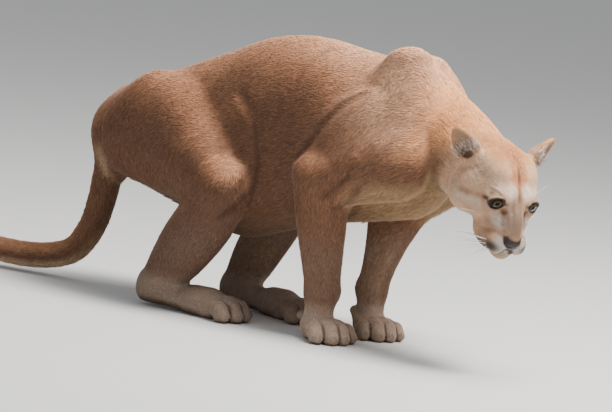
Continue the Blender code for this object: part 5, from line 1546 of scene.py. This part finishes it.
def hair_material():
    mt, nt, b = nodes_of("whisker_hair")
    tc = nt.nodes.new("ShaderNodeTexCoord")
    n1 = node(nt, "ShaderNodeTexNoise", Scale=160.0)
    nt.links.new(tc.outputs["Object"], n1.inputs["Vector"])
    cr = nt.nodes.new("ShaderNodeValToRGB")
    cr.color_ramp.elements[0].color = (0.72, 0.69, 0.64, 1)
    cr.color_ramp.elements[1].color = (0.95, 0.94, 0.92, 1)
    nt.links.new(n1.outputs["Fac"], cr.inputs["Fac"])
    nt.links.new(cr.outputs["Color"], b.inputs["Base Color"])
    b.inputs["Roughness"].default_value = 0.35
    return mt


AZ, EL, ROLL = math.radians(30), math.radians(7), math.radians(6.5)
BACK = vec(math.sin(AZ) * math.cos(EL), -math.cos(AZ) * math.cos(EL), math.sin(EL))
R0 = vec(math.cos(AZ), math.sin(AZ), 0)
U0 = vec(-math.sin(AZ) * math.sin(EL), math.cos(AZ) * math.sin(EL), math.cos(EL))
RIGHT = R0 * math.cos(ROLL) + U0 * math.sin(ROLL)
UP = U0 * math.cos(ROLL) - R0 * math.sin(ROLL)

whisk = []
for s in (1, -1):
    for x, y, z, tx, ty, tz, ln in (
            (92, 35.5, -34, -0.72, 0.66, -0.02, 74), (86, 37.5, -38, -0.80, 0.60, -0.10, 86), (94, 35, -39, -0.68, 0.66, -0.22, 92),
            (87, 38, -42, -0.80, 0.52, -0.26, 84), (95, 34, -44, -0.66, 0.56, -0.44, 76), (88, 36.5, -46, -0.74, 0.44, -0.46, 78),
            (80, 39.5, -40, -0.86, 0.46, -0.16, 70), (81, 39, -45, -0.82, 0.36, -0.38, 62), (96, 32, -48, -0.52, 0.48, -0.62, 56),
            (90, 34, -50, -0.60, 0.36, -0.66, 50), (101, 29, -42, -0.40, 0.72, -0.42, 44)):
        a = vec(x + 5, (y - 2.5) * s, z - 4)
        d = unit(vec(tx, ty * s, tz - 0.30))
        k = rng.uniform(0.94, 1.04)
        pts = [a - d * 5, a + d * ln * 0.33 * k + vec(0, 0, 1.6), a + d * ln * 0.68 * k + vec(-2, 0, -0.5),
               a + d * ln * k + vec(-4, 0, -7.0)]
        whisk.append(([hd(*q) for q in pts], 0.00070))
    for x, y, z, tx, ty, tz, ln in ((62, 24, 46, 0.25, 0.50, 0.80, 34), (58, 28, 46, 0.10, 0.62, 0.75, 40),
                                    (54, 32, 44, 0.0, 0.72, 0.66, 30), (40, 60, -18, -0.3, 0.9, -0.25, 26),
                                    (34, 62, -22, -0.4, 0.85, -0.35, 22)):
        a = vec(x, y * s, z)
        d = unit(vec(tx, ty * s, tz))
        pts = [a - d * 3, a + d * ln * 0.5 + vec(-1, 0, 1), a + d * ln + vec(-5, 0, -1)]
        whisk.append(([hd(*q) for q in pts], 0.00036))
whiskers = hair_tubes("whiskers", whisk, hair_material())


def claw_material():
    mt, nt, b = nodes_of("claw_horn")
    tc = nt.nodes.new("ShaderNodeTexCoord")
    n1 = node(nt, "ShaderNodeTexNoise", Scale=300.0, Detail=2.0)
    nt.links.new(tc.outputs["Object"], n1.inputs["Vector"])
    cr = nt.nodes.new("ShaderNodeValToRGB")
    cr.color_ramp.elements[0].color = (0.10, 0.075, 0.06, 1)
    cr.color_ramp.elements[1].color = (0.32, 0.26, 0.21, 1)
    nt.links.new(n1.outputs["Fac"], cr.inputs["Fac"])
    nt.links.new(cr.outputs["Color"], b.inputs["Base Color"])
    b.inputs["Roughness"].default_value = 0.35
    return mt


claws = []
for at, yaw, scale, wide in PAWS:
    c, s_ = math.cos(math.radians(yaw)), math.sin(math.radians(yaw))
    fw, lf, at = vec(c, s_, 0), vec(-s_, c, 0), vec(at[0], at[1], 0)
    for y, x, out in ((-0.75, 0.012, -0.012), (-0.27, 0.024, -0.003), (0.27, 0.024, 0.003), (0.75, 0.012, 0.012)):
        yy = y * wide

        def w(dx, dz, dy=0.0):
            return at + (fw * (x + dx) + lf * (yy + out + dy) + vec(0, 0, 1) * dz) * scale
        claws.append(([w(0.040, 0.0215), w(0.0475, 0.0205), w(0.0525, 0.0165), w(0.0545, 0.0115)], 0.0017 * scale))
claw = hair_tubes("claws", claws, claw_material(), 8)

# ------------------------------------------------------------ stage
floor_mt, nt, b = nodes_of("studio_floor")
b.inputs["Base Color"].default_value = (0.68, 0.67, 0.65, 1)
b.inputs["Roughness"].default_value = 0.9
bm = bmesh.new()
bmesh.ops.create_circle(bm, cap_ends=True, segments=64, radius=60)
fme = bpy.data.meshes.new("floor")
bm.to_mesh(fme)
bm.free()
floor = put("floor", fme, floor_mt)

world = bpy.data.worlds.new("studio")
world.use_nodes = True
world.node_tree.nodes["Background"].inputs["Color"].default_value = (0.86, 0.88, 0.92, 1)
world.node_tree.nodes["Background"].inputs["Strength"].default_value = 0.55
bpy.context.scene.world = world


def lamp(name, place, aim, size, power, tint):
    li = bpy.data.lights.new(name, "AREA")
    li.shape = "RECTANGLE"
    li.size, li.size_y = size
    li.energy = power
    li.color = tint
    ob = bpy.data.objects.new(name, li)
    d = Vector([float(a) for a in np.asarray(place, float) - np.asarray(aim, float)])
    ob.matrix_world = Matrix.Translation(Vector([float(a) for a in place])) @ d.to_track_quat("Z", "Y").to_matrix().to_4x4()
    bpy.context.scene.collection.objects.link(ob)


mid = vec(0.0, 0.0, 0.3) + SHIFT
lamp("key", mid + BACK * 1.0 + RIGHT * 1.7 + vec(0, 0, 2.7), mid + RIGHT * 0.2, (1.2, 1.2), 200, (1.0, 0.97, 0.93))
lamp("top", mid + vec(0.8, 0.1, 2.6), mid + vec(0.3, 0, 0.1), (1.6, 1.4), 95, (0.98, 0.98, 1.0))
lamp("fill", mid + BACK * 4.0 - RIGHT * 1.5 + vec(0, 0, 0.8), mid, (2.5, 2.5), 10, (1.0, 0.98, 0.96))

cam = bpy.data.cameras.new("camera")
cam.sensor_width = 36.0
cam.lens = 36.0 * 7.0 / (612 * 0.0019)
cam.clip_start, cam.clip_end = 0.1, 300
cob = bpy.data.objects.new("camera", cam)
loc = vec(0, 0, 0.2323) + SHIFT + BACK * 7.0
cob.matrix_world = Matrix(((RIGHT[0], UP[0], BACK[0], loc[0]), (RIGHT[1], UP[1], BACK[1], loc[1]),
                           (RIGHT[2], UP[2], BACK[2], loc[2]), (0, 0, 0, 1)))
bpy.context.scene.collection.objects.link(cob)
bpy.context.scene.camera = cob
